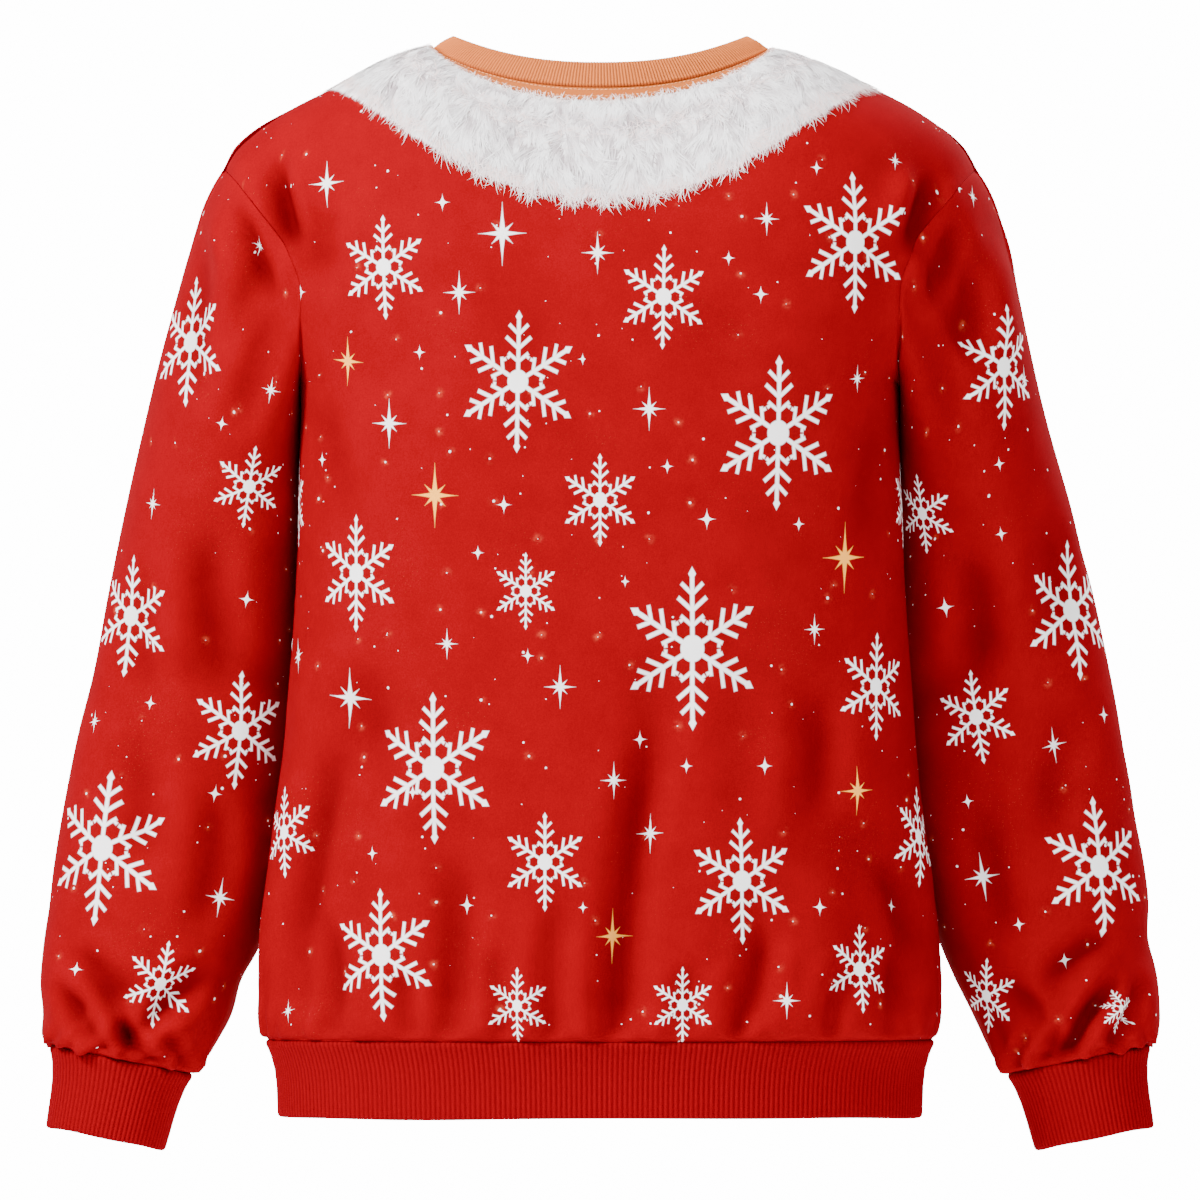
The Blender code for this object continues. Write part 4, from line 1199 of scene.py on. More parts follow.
class Material(Nodes):
    """A new material's nodes, with the even values of its shader."""

    def __init__(self, name, roughness, specular=0.3, sheen=0.0, sheen_tint=(1, 1, 1)):
        self.made = bpy.data.materials.new(name)
        self.made.use_nodes = True
        super().__init__(self.made.node_tree)
        self.shader = self.tree.nodes["Principled BSDF"]
        self.shader.inputs["Roughness"].default_value = roughness
        self.shader.inputs["Metallic"].default_value = 0.0
        self.shader.inputs["Specular IOR Level"].default_value = specular
        self.shader.inputs["Sheen Weight"].default_value = sheen
        self.shader.inputs["Sheen Roughness"].default_value = 0.45
        self.shader.inputs["Sheen Tint"].default_value = (*sheen_tint, 1)

    def finish(self, colour, height, strength, distance):
        """Joins the colour and a bump of the height to the shader."""
        self.put(self.shader.inputs["Base Color"], colour)
        inputs = {"Strength": strength, "Distance": distance, "Height": height}
        self.put(self.shader.inputs["Normal"], self.out(self.add("ShaderNodeBump", inputs)))
        return self.made


def shaded(colour, share):
    return tuple(share * part for part in colour)


# Printed specks: cells to a millimetre, radius, share of cells left empty, and whether they glow
SPECK_COLUMNS = ("scale", "radius", "empty", "glows")
SPECKS = ((0.061, 0.75, 0.84, False), (0.043, 0.95, 0.86, False), (0.031, 0.95, 0.56, True))
GLOW_SHARE = 0.34
GLOW_REACH = 6.0
# Painted shade in creases and folds: from and to which depth, how much of it, and the shade
PAINTED_SHADE_DEPTHS = (-1.0, 14.0)
PAINTED_SHADE_SHARE = 0.62
PAINTED_SHADE_DARKENS = (0.22, 0.22, 0.22)
STITCH_ROW = 0.0011  # in metres, as object coordinates are


def dots_and_glows(nodes, cloth, colour):
    """Small printed dots, and specks with a faint warm glow and dust round them."""
    smoke = nodes.step(nodes.noise(cloth, 0.012), 0.52, 0.66)
    dust = nodes.step(nodes.noise(cloth, 0.85, 2.0, 0.7), 0.64, 0.74)
    colour = nodes.mix(smoke * dust * GLOW_SHARE, colour, GLOW)
    for speck in named(SPECKS, SPECK_COLUMNS):
        inputs = {"Vector": cloth, "Scale": speck["scale"]}
        node = nodes.add("ShaderNodeTexVoronoi", inputs, voronoi_dimensions="2D")
        distance = nodes.out(node, "Distance") / speck["scale"]
        pick, size, _ = nodes.separate(nodes.out(node, "Color"))
        chosen = nodes.math("GREATER_THAN", pick, speck["empty"])
        reach = (size * size + 0.35) * speck["radius"]
        dot = (1.0 - nodes.step(distance, reach * 0.55, reach)) * chosen
        if speck["glows"]:
            glow = 1.0 - nodes.step(distance, 0.0, GLOW_REACH)
            wisps = nodes.step(nodes.noise(cloth, 0.16, 4.0, 0.7), 0.42, 0.68)
            colour = nodes.mix(glow * glow * GLOW_SHARE * wisps * chosen, colour, GLOW)
        colour = nodes.mix(dot * 0.92, colour, PRINT_WHITE)
    return colour


def fleece_red(nodes, light, deep):
    """Brushed red with the faint mottling of its nap, and that mottling."""
    space = nodes.space()
    broad, fine = nodes.noise(space, 38.0, 3.0, 0.6), nodes.noise(space, 900.0, 2.0, 0.6)
    return nodes.mix(nodes.step(broad * 0.6 + fine * 0.4, 0.30, 0.70), deep, light), fine


def nap_height(nodes):
    """The height of the nap: short fibres a little stretched along the cloth."""
    space = nodes.space()
    fibres = nodes.noise(nodes.vector("MULTIPLY", space, (1.0, 1.0, 0.55)), 1500.0, 3.0, 0.65)
    return fibres + nodes.noise(space, 260.0) * 0.8


def print_material(name, groups, trimmed):
    """The printed outer side: red, dots, sparkles, snowflakes, printed fur trim and painted crease
    shade.
    """
    nodes = Material(name, 0.9, specular=0.015)
    colour, fine = fleece_red(nodes, RED, RED_DEEP)
    colour = dots_and_glows(nodes, nodes.attribute("cloth"), colour)
    stars = use_group(nodes, groups["star"], "star")
    flakes = use_group(nodes, groups["flake"], "flake")
    covered = nodes.step(fine, 0.12, 0.42) * 0.12 + 0.88
    colour = nodes.mix(stars["White"] * covered, colour, PRINT_WHITE)
    colour = nodes.mix(stars["Gold"] * covered, colour, PRINT_GOLD)
    colour = nodes.mix(flakes["Mask"] * covered, colour, PRINT_WHITE)
    if trimmed:
        colour = fur_ground(nodes, colour)
    # Painted shade: the colour darkens with the depth of the creases and main folds
    deep = nodes.step(nodes.attribute("sunk", "Fac"), *PAINTED_SHADE_DEPTHS) * PAINTED_SHADE_SHARE
    colour = nodes.mix(deep, colour, nodes.vector("MULTIPLY", colour, PAINTED_SHADE_DARKENS))
    return nodes.finish(colour, nap_height(nodes), 0.35, 0.00035)


def fur_ground(nodes, colour):
    """The printed fur's ground colour under its strokes, and the peach strip beside the neck."""
    from_seam, from_edge, arc = nodes.separate(nodes.attribute("trim"))
    tufts = nodes.noise(nodes.combine(arc / 7.0, from_seam / 19.0), 1.0, 4.0, 0.6)
    hairs = nodes.noise(nodes.combine(arc / 0.8, from_seam / 9.0), 1.0, 3.0, 0.6)
    ragged = hairs - 0.5
    fur = nodes.mix(nodes.step(tufts * 0.65 + hairs * 0.35, 0.30, 0.62), FUR_SHADE, FUR_WHITE)
    colour = nodes.mix(nodes.step(from_edge - 5.0 + ragged * 9.0, -1.2, 1.2), colour, fur)
    at_fur = nodes.step(from_seam, PEACH_STRIP - 3.0, PEACH_STRIP)
    peach = nodes.mix(at_fur, shaded(PEACH, 0.78), PEACH_DARK)
    strip = 1.0 - nodes.step(from_seam + ragged * 2.0, PEACH_STRIP - 0.4, PEACH_STRIP + 0.4)
    return nodes.mix(strip, colour, peach)


def inside_material():
    """The inner side: plain brushed red fleece, paler and softer than the printed side, with
    painted shade where its pile lies low.
    """
    nodes = Material("Fleece inside", 0.97, 0.02, sheen=0.03, sheen_tint=(1.0, 0.1, 0.08))
    tufts = nodes.noise(nodes.space(), 420.0, 4.0, 0.65)
    # The pile's low places are darker: painted shade
    colour = nodes.mix(nodes.step(tufts, 0.35, 0.68), shaded(RED_INSIDE, 0.72), RED_INSIDE)
    return nodes.finish(colour, tufts, 0.7, 0.0009)


def rib_material(name, colour, painted_groove_shade):
    """Ribbing: fine knit stitches in the ribs, and painted shade in the grooves between them."""
    nodes = Material(name, 0.88, specular=0.02)
    space = nodes.space()
    mottled = nodes.noise(space, 700.0, 2.0, 0.6) - 0.5
    # The rib's height sets painted shade: darker in the grooves, full colour on the ribs
    tone = nodes.attribute("rib", "Fac") + mottled * 0.5
    rows = nodes.math("SINE", nodes.separate(space)[2] * (2 * math.pi / STITCH_ROW))
    stitches = rows * 0.4 + nodes.noise(space, 1300.0, 2.0, 0.6)
    return nodes.finish(nodes.mix(nodes.step(tone, 0.0, 0.8), painted_groove_shade, colour), stitches, 0.3, 0.00025)


def stroke_material():
    """The printed fur's strokes, each in its own tint."""
    nodes = Material("Fur strokes", 0.9, specular=0.15, sheen=0.08)
    return nodes.finish(nodes.attribute("tint", "Color"), nap_height(nodes), 0.15, 0.0002)


def thread_material(name, colour):
    """A plied thread, darker in the low parts of its twist: painted shade."""
    nodes = Material(name, 0.6, specular=0.4)
    twist = nodes.noise(nodes.space(), 2400.0)
    return nodes.finish(nodes.mix(twist, shaded(colour, 0.75), colour), twist, 0.3, 0.0001)


# Objects


def add_mesh(name, points, faces, materials, slots=None):
    """A smooth-shaded mesh object in metres."""
    mesh = bpy.data.meshes.new(name)
    mesh.vertices.add(len(points))
    mesh.vertices.foreach_set("co", (points * METRES).reshape(-1))
    mesh.loops.add(faces.size)
    mesh.loops.foreach_set("vertex_index", faces.reshape(-1))
    mesh.polygons.add(len(faces))
    mesh.polygons.foreach_set("loop_start", np.arange(len(faces)) * faces.shape[1])
    for made in materials:
        mesh.materials.append(made)
    if slots is not None:
        mesh.polygons.foreach_set("material_index", slots)
    mesh.update(calc_edges=True)
    mesh.shade_smooth()
    return link(name, mesh)


def link(name, data):
    """A new object of some data, in the scene."""
    made = bpy.data.objects.new(name, data)
    bpy.context.scene.collection.objects.link(made)
    return made


# Where each piece lies on the cloth of the fine print, so that no two show the same specks
PRINT_STARTS = {"back": 0.0, "front": 900.0, "sleeve_left": 1900.0, "sleeve_right": 2900.0}


def add_cloth(cloth, outer, inner):
    """A cut piece as a closed wall, with its print's layers."""
    points, faces, slots = wall_of(cloth)
    made = add_mesh(f"{cloth.name}_cloth", points, faces, [outer, inner], slots)
    corner_layer(made.data, "flake", layer_of(cloth, {"flake": 0.0}, FLAKE_SQUEEZE), faces.size)
    corner_layer(made.data, "star", layer_of(cloth, STAR_KINDS, 1.0), faces.size)
    flat = cloth.cloth.reshape(-1, 2) + PRINT_STARTS[cloth.name]
    uv = np.concatenate([flat, np.zeros((len(flat), 1))], -1)
    point_layer(made.data, "cloth", np.concatenate([uv, uv]))
    # The depth of creases and folds, which sets the painted shade of the outer side
    sunk = cloth.sunk.reshape(-1)
    point_layer(made.data, "sunk", np.concatenate([sunk, 0 * sunk]), "FLOAT")
    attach(made, BODY)
    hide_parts(cloth.name)
    return made


# The printed fur


def neck_ring(turns, line):
    """The neck's seam or edge as a ring, from the centre back round over the right side."""
    at_back = np.cos(turns) > 0
    back = neck_curve("back", np.where(at_back, turns, 0), line)
    front = neck_curve("front", np.where(at_back, 0, math.pi - turns), line)
    return np.where(at_back[:, None], back, front)


def ring_tree(ring):
    """A search tree that gives the number of a ring's nearest point, and how far it is."""
    tree = KDTree(len(ring))
    for k, point in enumerate(ring):
        tree.insert(point, k)
    tree.balance()
    return tree


def fur_width(turns):
    """How far the fur reaches from the neck seam, at turns from the centre back."""
    to_back, to_front = np.maximum(np.cos(turns), 0) ** 2, np.maximum(-np.cos(turns), 0) ** 2
    side = FUR_WIDTHS["side"]
    return side + (FUR_WIDTHS["back"] - side) * to_back + (FUR_WIDTHS["front"] - side) * to_front


class NeckField:
    """Points and normals of the cloth round the neck, by turn and distance from the seam."""

    def __init__(self, cloths):
        points, polygons = [], []
        for cloth in cloths:
            polygons += (cloth.quads + len(points)).tolist()
            points += outer_side(cloth)[0].reshape(-1, 3).tolist()
        self.tree = BVHTree.FromPolygons(points, polygons)
        ring = neck_ring(full_round(FUR_TURNS), "seam")
        self.seam = ring_tree(ring)
        ahead = np.roll(ring, -1, axis=0) - np.roll(ring, 1, axis=0)
        ways = unit(np.cross(ahead, [0, 0, 1.0]))
        steps = int(max(FUR_WIDTHS.values()) / FUR_STEP) + 6
        self.points = np.zeros((FUR_TURNS, steps, 3))
        self.normals = np.zeros((FUR_TURNS, steps, 3))
        for k in range(FUR_TURNS):
            self.run_line(k, Vector(ring[k]), Vector(ways[k]))
        self.smooth()
        self.arcs = np.linalg.norm(np.roll(self.points, -1, axis=0) - self.points, axis=-1)

    def run_line(self, k, here, way):
        """Runs one line out over the cloth from the neck seam, in an upright plane."""
        level = way.cross(Vector((0, 0, 1)))
        for step in range(self.points.shape[1]):
            spot, normal, _, _ = self.tree.find_nearest(here)
            if normal.dot(spot - Vector(BODY_MIDDLE)) < 0:
                normal = -normal
            self.points[k, step], self.normals[k, step] = spot, normal
            if step:
                ahead = level.cross(normal).normalized()
                way = ahead if ahead.dot(way) > 0 else -ahead
            here = spot + way * FUR_STEP

    def smooth(self):
        """Each line as most of its neighbours run, so that none is turned aside at a seam's rim."""
        shifts = range(-LINE_NEIGHBOURS, LINE_NEIGHBOURS + 1)
        self.points, normals = (
            np.median([np.roll(field, shift, axis=0) for shift in shifts], axis=0)
            for field in (self.points, self.normals)
        )
        self.normals = unit(normals)

    def read(self, field, turn_index, distance):
        """Values at fractional places, between the four nearest ones."""
        k = np.floor(turn_index).astype(int)
        t = (turn_index - k)[..., None]
        far = np.clip(distance / FUR_STEP, 0, field.shape[1] - 1.001)
        j = np.floor(far).astype(int)
        s = (far - j)[..., None]
        k0, k1 = k % FUR_TURNS, (k + 1) % FUR_TURNS
        near = field[k0, j] * (1 - t) + field[k1, j] * t
        beyond = field[k0, j + 1] * (1 - t) + field[k1, j + 1] * t
        return near * (1 - s) + beyond * s

    def place(self, turn_index, distance, lift):
        """Points on the cloth, lifted off it, and its normals there."""
        rough = self.read(self.points, turn_index, distance)
        rough += self.read(self.normals, turn_index, distance)
        spots, normal = self.nearest(rough)
        return spots + normal * lift[..., None], normal

    def nearest(self, points):
        """The nearest points of the cloth's outer side and its normals there."""
        found = [self.tree.find_nearest(point)[:2] for point in points.reshape(-1, 3).tolist()]
        spots, normal = (
            np.array([tuple(pair[which]) for pair in found]).reshape(points.shape)
            for which in (0, 1)
        )
        normal[np.sum(normal * (spots - BODY_MIDDLE), -1) < 0] *= -1
        return spots, normal

    def buried(self, middle):
        """How deep each stroke's straight stretches run below the cloth's outer side."""
        halfway = (middle[:, 1:] + middle[:, :-1]) / 2
        spots, normal = self.nearest(halfway)
        return np.sum((spots - halfway) * normal, -1).max(axis=1)

    def sideways(self, turn_index, distance):
        """Millimetres for each turn step at a place."""
        return self.read(self.arcs[..., None], turn_index, distance)[..., 0]


def trim_layer(cloth):
    """For each point: its distance from the neck seam, how far inside the fur it is, and arc."""
    ring = neck_ring(full_round(FUR_TURNS), "seam")
    tree = ring_tree(ring)
    arc = np.arange(FUR_TURNS) * along_lengths(ring)[-1] / FUR_TURNS
    widths = fur_width(full_round(FUR_TURNS))
    points = cloth.grid.reshape(-1, 3)
    layer = np.tile(OUTSIDE_FUR, (len(points), 1))
    for i in np.flatnonzero(points[:, 2] >= FUR_LOWEST_Z):
        _, k, distance = tree.find(points[i])
        layer[i] = distance, widths[k] - distance, arc[k]
    return layer


def strokes(field, turn_index, root, heading, length, curl, half_width, lift, tint, low, clear):
    """Thin tapered ribbons that lie on the cloth, each from its root along its heading.

    Their colour runs from low at the root to tint. Those that come nearer to the neck seam
    than clear are left out.
    """
    share = np.linspace(0, 1, FUR_SAMPLES)
    step = (length / (FUR_SAMPLES - 1))[:, None]
    angle = heading[:, None] + curl[:, None] * share
    side_step = np.sin(angle) * step / field.sideways(turn_index, root)[:, None]
    turn, away = np.zeros(angle.shape), np.zeros(angle.shape)
    turn += turn_index[:, None]
    away += root[:, None]
    turn[:, 1:] += np.cumsum(side_step[:, :-1], axis=1)
    away[:, 1:] += np.cumsum((np.cos(angle) * step)[:, :-1], axis=1)
    rise = lift[:, None] * (0.15 + 0.95 * np.sin(0.62 * math.pi * share))
    middle, normal = field.place(turn, np.maximum(away, 0.0), rise)
    off_seam = [min(field.seam.find(point)[2] for point in one) for one in middle]
    kept = (np.array(off_seam) > clear) & (field.buried(middle) < STROKE_BURIED)
    middle, normal, half_width = middle[kept], normal[kept], half_width[kept]
    tint, low = tint[kept, None], low[kept, None]
    across_way = unit(np.cross(normal, unit(np.gradient(middle, axis=1))))
    taper = np.sin(math.pi * (0.12 + 0.88 * share)) ** 0.7
    taper[-1] = 0.06
    wide = across_way * (half_width[:, None] * taper)[..., None]
    points = np.stack([middle - wide, middle + wide], 2).reshape(-1, 3)
    first = 2 * (np.arange(len(middle))[:, None] * FUR_SAMPLES + np.arange(FUR_SAMPLES - 1))
    faces = np.stack([first, first + 1, first + 3, first + 2], -1).reshape(-1, 4)
    shades = low + (tint - low) * smooth_step(0.12 + 1.1 * share)[:, None]
    colours = np.repeat(shades.reshape(-1, 3), 2, axis=0)
    return points, faces, np.concatenate([colours, np.ones((len(colours), 1))], -1)


def joined(parts):
    """Several sets of points, faces and colours as one."""
    points, faces, colours, start = [], [], [], 0
    for part_points, part_faces, part_colours in parts:
        points.append(part_points)
        faces.append(part_faces + start)
        colours.append(part_colours)
        start += len(part_points)
    return np.concatenate(points), np.concatenate(faces), np.concatenate(colours)


# The fur's tufts and the loose hairs at its edges: lengths and half widths, from and to
TUFT_LENGTHS = (13.0, 23.0)
TUFT_HALF_WIDTH = 6.0
STROKE_HALF_WIDTHS = (0.26, 0.46)
STROKE_ROOT_SHADE = (0.60, 0.53, 0.545)
HAIR_LENGTHS = {"lower": (9.0, 16.0), "upper": (4.0, 9.0)}
HAIR_HALF_WIDTHS = (0.12, 0.21)
HAIR_CLEAR = PEACH_STRIP - 7.0
FUR_STARTS = 2.5  # beside the peach strip


def width_at(turn_index):
    return fur_width(turn_index / FUR_TURNS * 2 * math.pi)


def ragged(turn_index):
    """How far the fur's lower edge strays."""
    return 2.2 * np.sin(turn_index / 2.3) + 1.3 * np.sin(turn_index / 0.97 + 1)


def swirl(turn_index, root):
    """How far the fur leans sideways, in radians."""
    slow = np.sin(turn_index / 5.3 + root / 17) + np.sin(turn_index / 2.9 - root / 11 + 1.7)
    return 0.30 * slow


def blend(low, high, share):
    return np.array(low) + (np.array(high) - np.array(low)) * share[:, None]


def fur_coat(field, spread):
    """Tufts of strokes that start side by side and lean together towards one tip."""
    tufts = FUR_STROKES // TUFT_STROKES
    turn = spread(tufts)
    share = RANDOM.uniform(0, 1, tufts) ** 0.85
    last = width_at(turn) - 20 + ragged(turn)
    root = PEACH_STRIP + FUR_STARTS + share * (last - PEACH_STRIP - FUR_STARTS)
    upward = RANDOM.uniform(0, 1, tufts) < smooth_step((FUR_PARTING + 0.12 - share) / 0.2)
    lean = swirl(turn, root) + RANDOM.normal(0, 0.22, tufts)
    heading = np.where(upward, math.pi - lean, lean)
    length = RANDOM.uniform(*TUFT_LENGTHS, tufts)
    length = np.where(upward, np.minimum(length, root - PEACH_STRIP + 1), length)
    bright = RANDOM.normal(0.72, 0.20, tufts)
    order = np.argsort(np.where(upward, root, -root + 2 * FUR_WIDTHS["back"]))
    turn, root, heading, length, bright = (
        np.repeat(values[order], TUFT_STROKES) for values in (turn, root, heading, length, bright)
    )
    count = len(turn)
    off = np.clip(RANDOM.normal(0, 2.6, count), -TUFT_HALF_WIDTH, TUFT_HALF_WIDTH)
    back_off = RANDOM.uniform(-3.5, 3.5, count)
    scale = field.sideways(turn, root)
    turn = turn + (off * np.cos(heading) + back_off * np.sin(heading)) / scale
    root = np.maximum(root - off * np.sin(heading) + back_off * np.cos(heading), PEACH_STRIP + 1)
    heading = heading - 0.75 * off / length + RANDOM.normal(0, 0.16, count)
    length = np.maximum(length - back_off * 0.6, 3.5)
    inmost = 1 - np.abs(off) / TUFT_HALF_WIDTH
    lift = 0.25 + 0.8 * inmost * RANDOM.uniform(0.6, 1.1, count)
    shade = np.clip(bright + 0.55 * (inmost - 0.55) + RANDOM.normal(0, 0.10, count), 0, 1)
    tint = blend(FUR_SHADE, FUR_LIGHT, shade)
    low = tint * np.array(STROKE_ROOT_SHADE)
    curl = RANDOM.normal(0, 0.35, count)
    wide = RANDOM.uniform(*STROKE_HALF_WIDTHS, count)
    return strokes(field, turn, root, heading, length, curl, wide, lift, tint, low, PEACH_STRIP - 1)


def fur_fringe(field, spread, count, place):
    """Thin loose hairs: below the lower edge, above the upper one, or along the parting."""
    turn = spread(count)
    ways = RANDOM.normal(0, 1, count)
    curl = RANDOM.normal(0, 0.6, count) + (RANDOM.uniform(0, 1, count) < 0.15) * 2.2
    curl *= RANDOM.choice([-1, 1], count)
    if place == "lower":
        root = width_at(turn) - RANDOM.uniform(5, 13, count) + ragged(turn)
        heading = swirl(turn, root) + 0.42 * ways
    elif place == "upper":
        root = PEACH_STRIP + RANDOM.uniform(1.0, 6, count)
        heading = math.pi + 0.7 * ways
    else:
        root = width_at(turn) * (FUR_PARTING + 0.05) + 7 * RANDOM.normal(0, 1, count)
        heading = math.pi / 2 * RANDOM.choice([-1, 1], count) + 0.7 * ways
        curl *= 2
    uneven = 9 + 6 * turn % 5
    length = RANDOM.uniform(*HAIR_LENGTHS[place], count) if place in HAIR_LENGTHS else uneven
    tint = blend(FUR_PINK, FUR_WHITE, RANDOM.uniform(0, 1, count))
    lift = RANDOM.uniform(0.6, 1.3, count)
    wide = RANDOM.uniform(*HAIR_HALF_WIDTHS, count)
    low = tint * 0.92
    return strokes(field, turn, root, heading, length, curl, wide, lift, tint, low, HAIR_CLEAR)


def fur_half(field, side, made_of):
    """The printed fur on the front or back: a full coat, then fringes at its edges and parting."""
    middle, half = 0.0 if side == "back" else FUR_TURNS / 2, FUR_TURNS / 4

    def spread(count):
        """Turns strewn over this half of the neck."""
        return middle + RANDOM.uniform(-half, half, count)

    parts = [fur_coat(field, spread)]
    parts += [fur_fringe(field, spread, count, place) for place, count in FUR_FRINGES.items()]
    points, faces, colours = joined(parts)
    made = add_mesh(f"printed_fur_{side}", points, faces, [made_of])
    point_layer(made.data, "tint", colours, "FLOAT_COLOR")
    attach(made, BODY)
    return made


# Ribbed bands

# A band's cross-section: share of the way down, inward depth, and how much ribs show there
BAND_PROFILE = (
    (0, 1.3, 0), (0.012, 0.6, 0.6), (0.035, -0.1, 1.1), (0.075, -0.35, 1.3), (0.13, -0.12, 1.05),
    (0.22, 0, 1), (0.4, 0, 1), (0.6, 0, 1), (0.8, 0, 1), (0.955, 0, 1), (0.985, 0.25, 0.9),
    (1, 1, 0.7), (0.997, 1.7, 0.5), (0.975, 2.25, 0.5), (0.8, 2.4, 0.5), (0.45, 2.4, 0.5),
    (0, 2.4, 0),
)
POINTS_PER_RIB = 6
RIB_INNER_SHARE = 0.4  # how much of the ribs shows on the inner side
NECK_ROUNDNESS = 0.9


def rib_profile(count):
    """Rib heights round a band: rounded tops with narrow grooves."""
    phase = np.arange(count) * 2 * math.pi / POINTS_PER_RIB
    return (0.5 + 0.5 * np.cos(phase)) ** 0.7


def add_band(name, node, rings, shares, normals, material):
    """A closed ribbed band from its outer rings, read at each step of the cross-section."""
    count = rings.shape[1]
    ribs = rib_profile(count)
    at, inward, shown = np.array(BAND_PROFILE, float).T
    inward, shown = inward[:, None], shown[:, None]
    rise = RIB_HEIGHT * ribs * shown
    fallen = RIB_INNER_SHARE * (rise - RIB_HEIGHT * shown)
    offset = np.where(inward < RIB_WALL / 2, -inward + rise, -inward - fallen)
    way = unit(curve_through(shares, normals, at))
    grid = curve_through(shares, rings, at) + way * offset[..., None]
    points = grid.reshape(-1, 3)
    faces = quads_of_grid(len(grid), count, True, ends_meet=True)
    outer_row = faces[4 * count : 5 * count]
    if look_inward(points, outer_row, points.mean(axis=0)):
        faces = faces[:, ::-1]
    made = add_mesh(name, points, faces, [material])
    # How high each rib stands here, which sets the painted shade in its grooves
    heights = ribs * np.where(shown > 0, np.minimum(shown + 0.2, 1), 0.3)
    point_layer(made.data, "rib", heights.reshape(-1), "FLOAT")
    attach(made, BODY)
    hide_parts(node)
    return made


def ring_shares(rings):
    """How far down a band each of its rings is."""
    lengths = along_lengths(rings[:, 0])
    return lengths / lengths[-1]


HEM_RIBS = 320
CUFF_RIBS = 80
NECK_RIBS = 300


def even_turns(ring_at, count):
    """Turns at which a ring's points are equally far apart, so that its ribs are even."""
    turns = np.linspace(0, 2 * math.pi, 8 * count + 1)
    lengths = along_lengths(ring_at(turns))
    return np.interp(np.arange(count) * lengths[-1] / count, lengths, turns)


def hem_ring(row, turns):
    """A ring of the hem band, from the centre back round over the right side."""
    out = np.sign(np.sin(turns)) * np.abs(np.sin(turns)) ** (2 / HEM_POWER)
    reach = np.where(np.cos(turns) > 0, -row["back_depth"], row["front_depth"])
    y = reach * np.abs(np.cos(turns)) ** (2 / HEM_POWER)
    return np.stack([row["half_width"] * out, y, np.full(len(turns), row["z"])], -1)


def hem_band(material):
    """The hem rib, with a slightly wavy lower edge."""
    rows = named(HEM_ROWS, HEM_COLUMNS)
    turns = even_turns(lambda at: hem_ring(rows[0], at), HEM_RIBS * POINTS_PER_RIB)
    rings = np.stack([hem_ring(row, turns) for row in rows])
    rings[0, :, 2] -= SEAM_GAP / 2
    rings[2, :, 2] += 0.5 * np.sin(3 * turns + 0.5) + 0.3 * np.sin(7 * turns + 2)
    normals = ring_normals(rings)
    normals[0] = square_to(normals[0], UPWARD)
    return add_band("hem_band", "hem_rib", rings, ring_shares(rings), normals, material)


def cuff_band(side, material):
    """A cuff, made as if at +X, with a slightly wavy lower edge."""
    turns = even_turns(lambda at: tube_section(CUFF_ROWS[0], at), CUFF_RIBS * POINTS_PER_RIB)
    rings = np.stack([tube_section(row, turns) for row in CUFF_ROWS])
    axis = cuff_axis()
    rings[0] += axis * SEAM_GAP / 2
    rings[2] += axis * (0.5 * np.sin(2 * turns + 1) + 0.3 * np.sin(5 * turns))[:, None]
    normals = ring_normals(rings)
    normals[0] = square_to(normals[0], axis)
    mirror = np.array([SIDES[side], 1, 1])
    name, shares = f"cuff_{side}", ring_shares(rings)
    rings, normals = rings * mirror, normals * mirror
    return add_band(f"{name}_band", name, rings, shares, normals, material)


def neck_band(material):
    """The neck rib: a little rounded between its seam and its free edge."""
    turns = even_turns(lambda at: neck_ring(at, "seam"), NECK_RIBS * POINTS_PER_RIB)
    seam, edge = neck_ring(turns, "seam"), neck_ring(turns, "edge")
    seam = seam + unit(edge - seam) * SEAM_GAP / 2
    rings = np.stack([seam, (seam + edge) / 2, edge])
    normals = ring_normals(rings)
    rings[1] += normals[1] * NECK_ROUNDNESS
    shares = np.array([0, 0.5, 1.0])
    return add_band("neck_band", "neck_rib", rings, shares, normals, material)


# Sewing


def spindles(starts, ends, normals, radius):
    """Short plump stitches between two points, flattened on the cloth."""
    sides, rows = 6, 5
    share = np.linspace(0, 1, rows)
    plump = np.array([0.35, 0.9, 1.0, 0.9, 0.35])
    way = unit(ends - starts)
    side = unit(np.cross(normals, way))
    around = full_round(sides)
    middle = starts[:, None] + (ends - starts)[:, None] * share[None, :, None]
    middle = middle + normals[:, None] * (radius * 0.75 * plump)[None, :, None]
    ring = (
        side[:, None, None] * np.cos(around)[None, None, :, None]
        + normals[:, None, None] * np.sin(around)[None, None, :, None] * 0.8
    )
    points = middle[:, :, None] + ring * (radius * plump)[None, :, None, None]
    count = len(starts)
    quads = quads_of_grid(rows, sides, True)[:, ::-1]
    caps = np.array([[0, 1, 2, 3], [3, 4, 5, 0]])
    last = (rows - 1) * sides
    one = np.concatenate([quads, caps, caps[:, ::-1] + last])
    faces = (one[None] + (np.arange(count) * rows * sides)[:, None, None]).reshape(-1, 4)
    return points.reshape(-1, 3), faces


COVERSTITCH_LINES = (3.2, 9.6)  # distances from the neck seam
STITCH_PITCH = 2.9
STITCH_LENGTH = 2.3
STITCH_RADIUS = 0.4


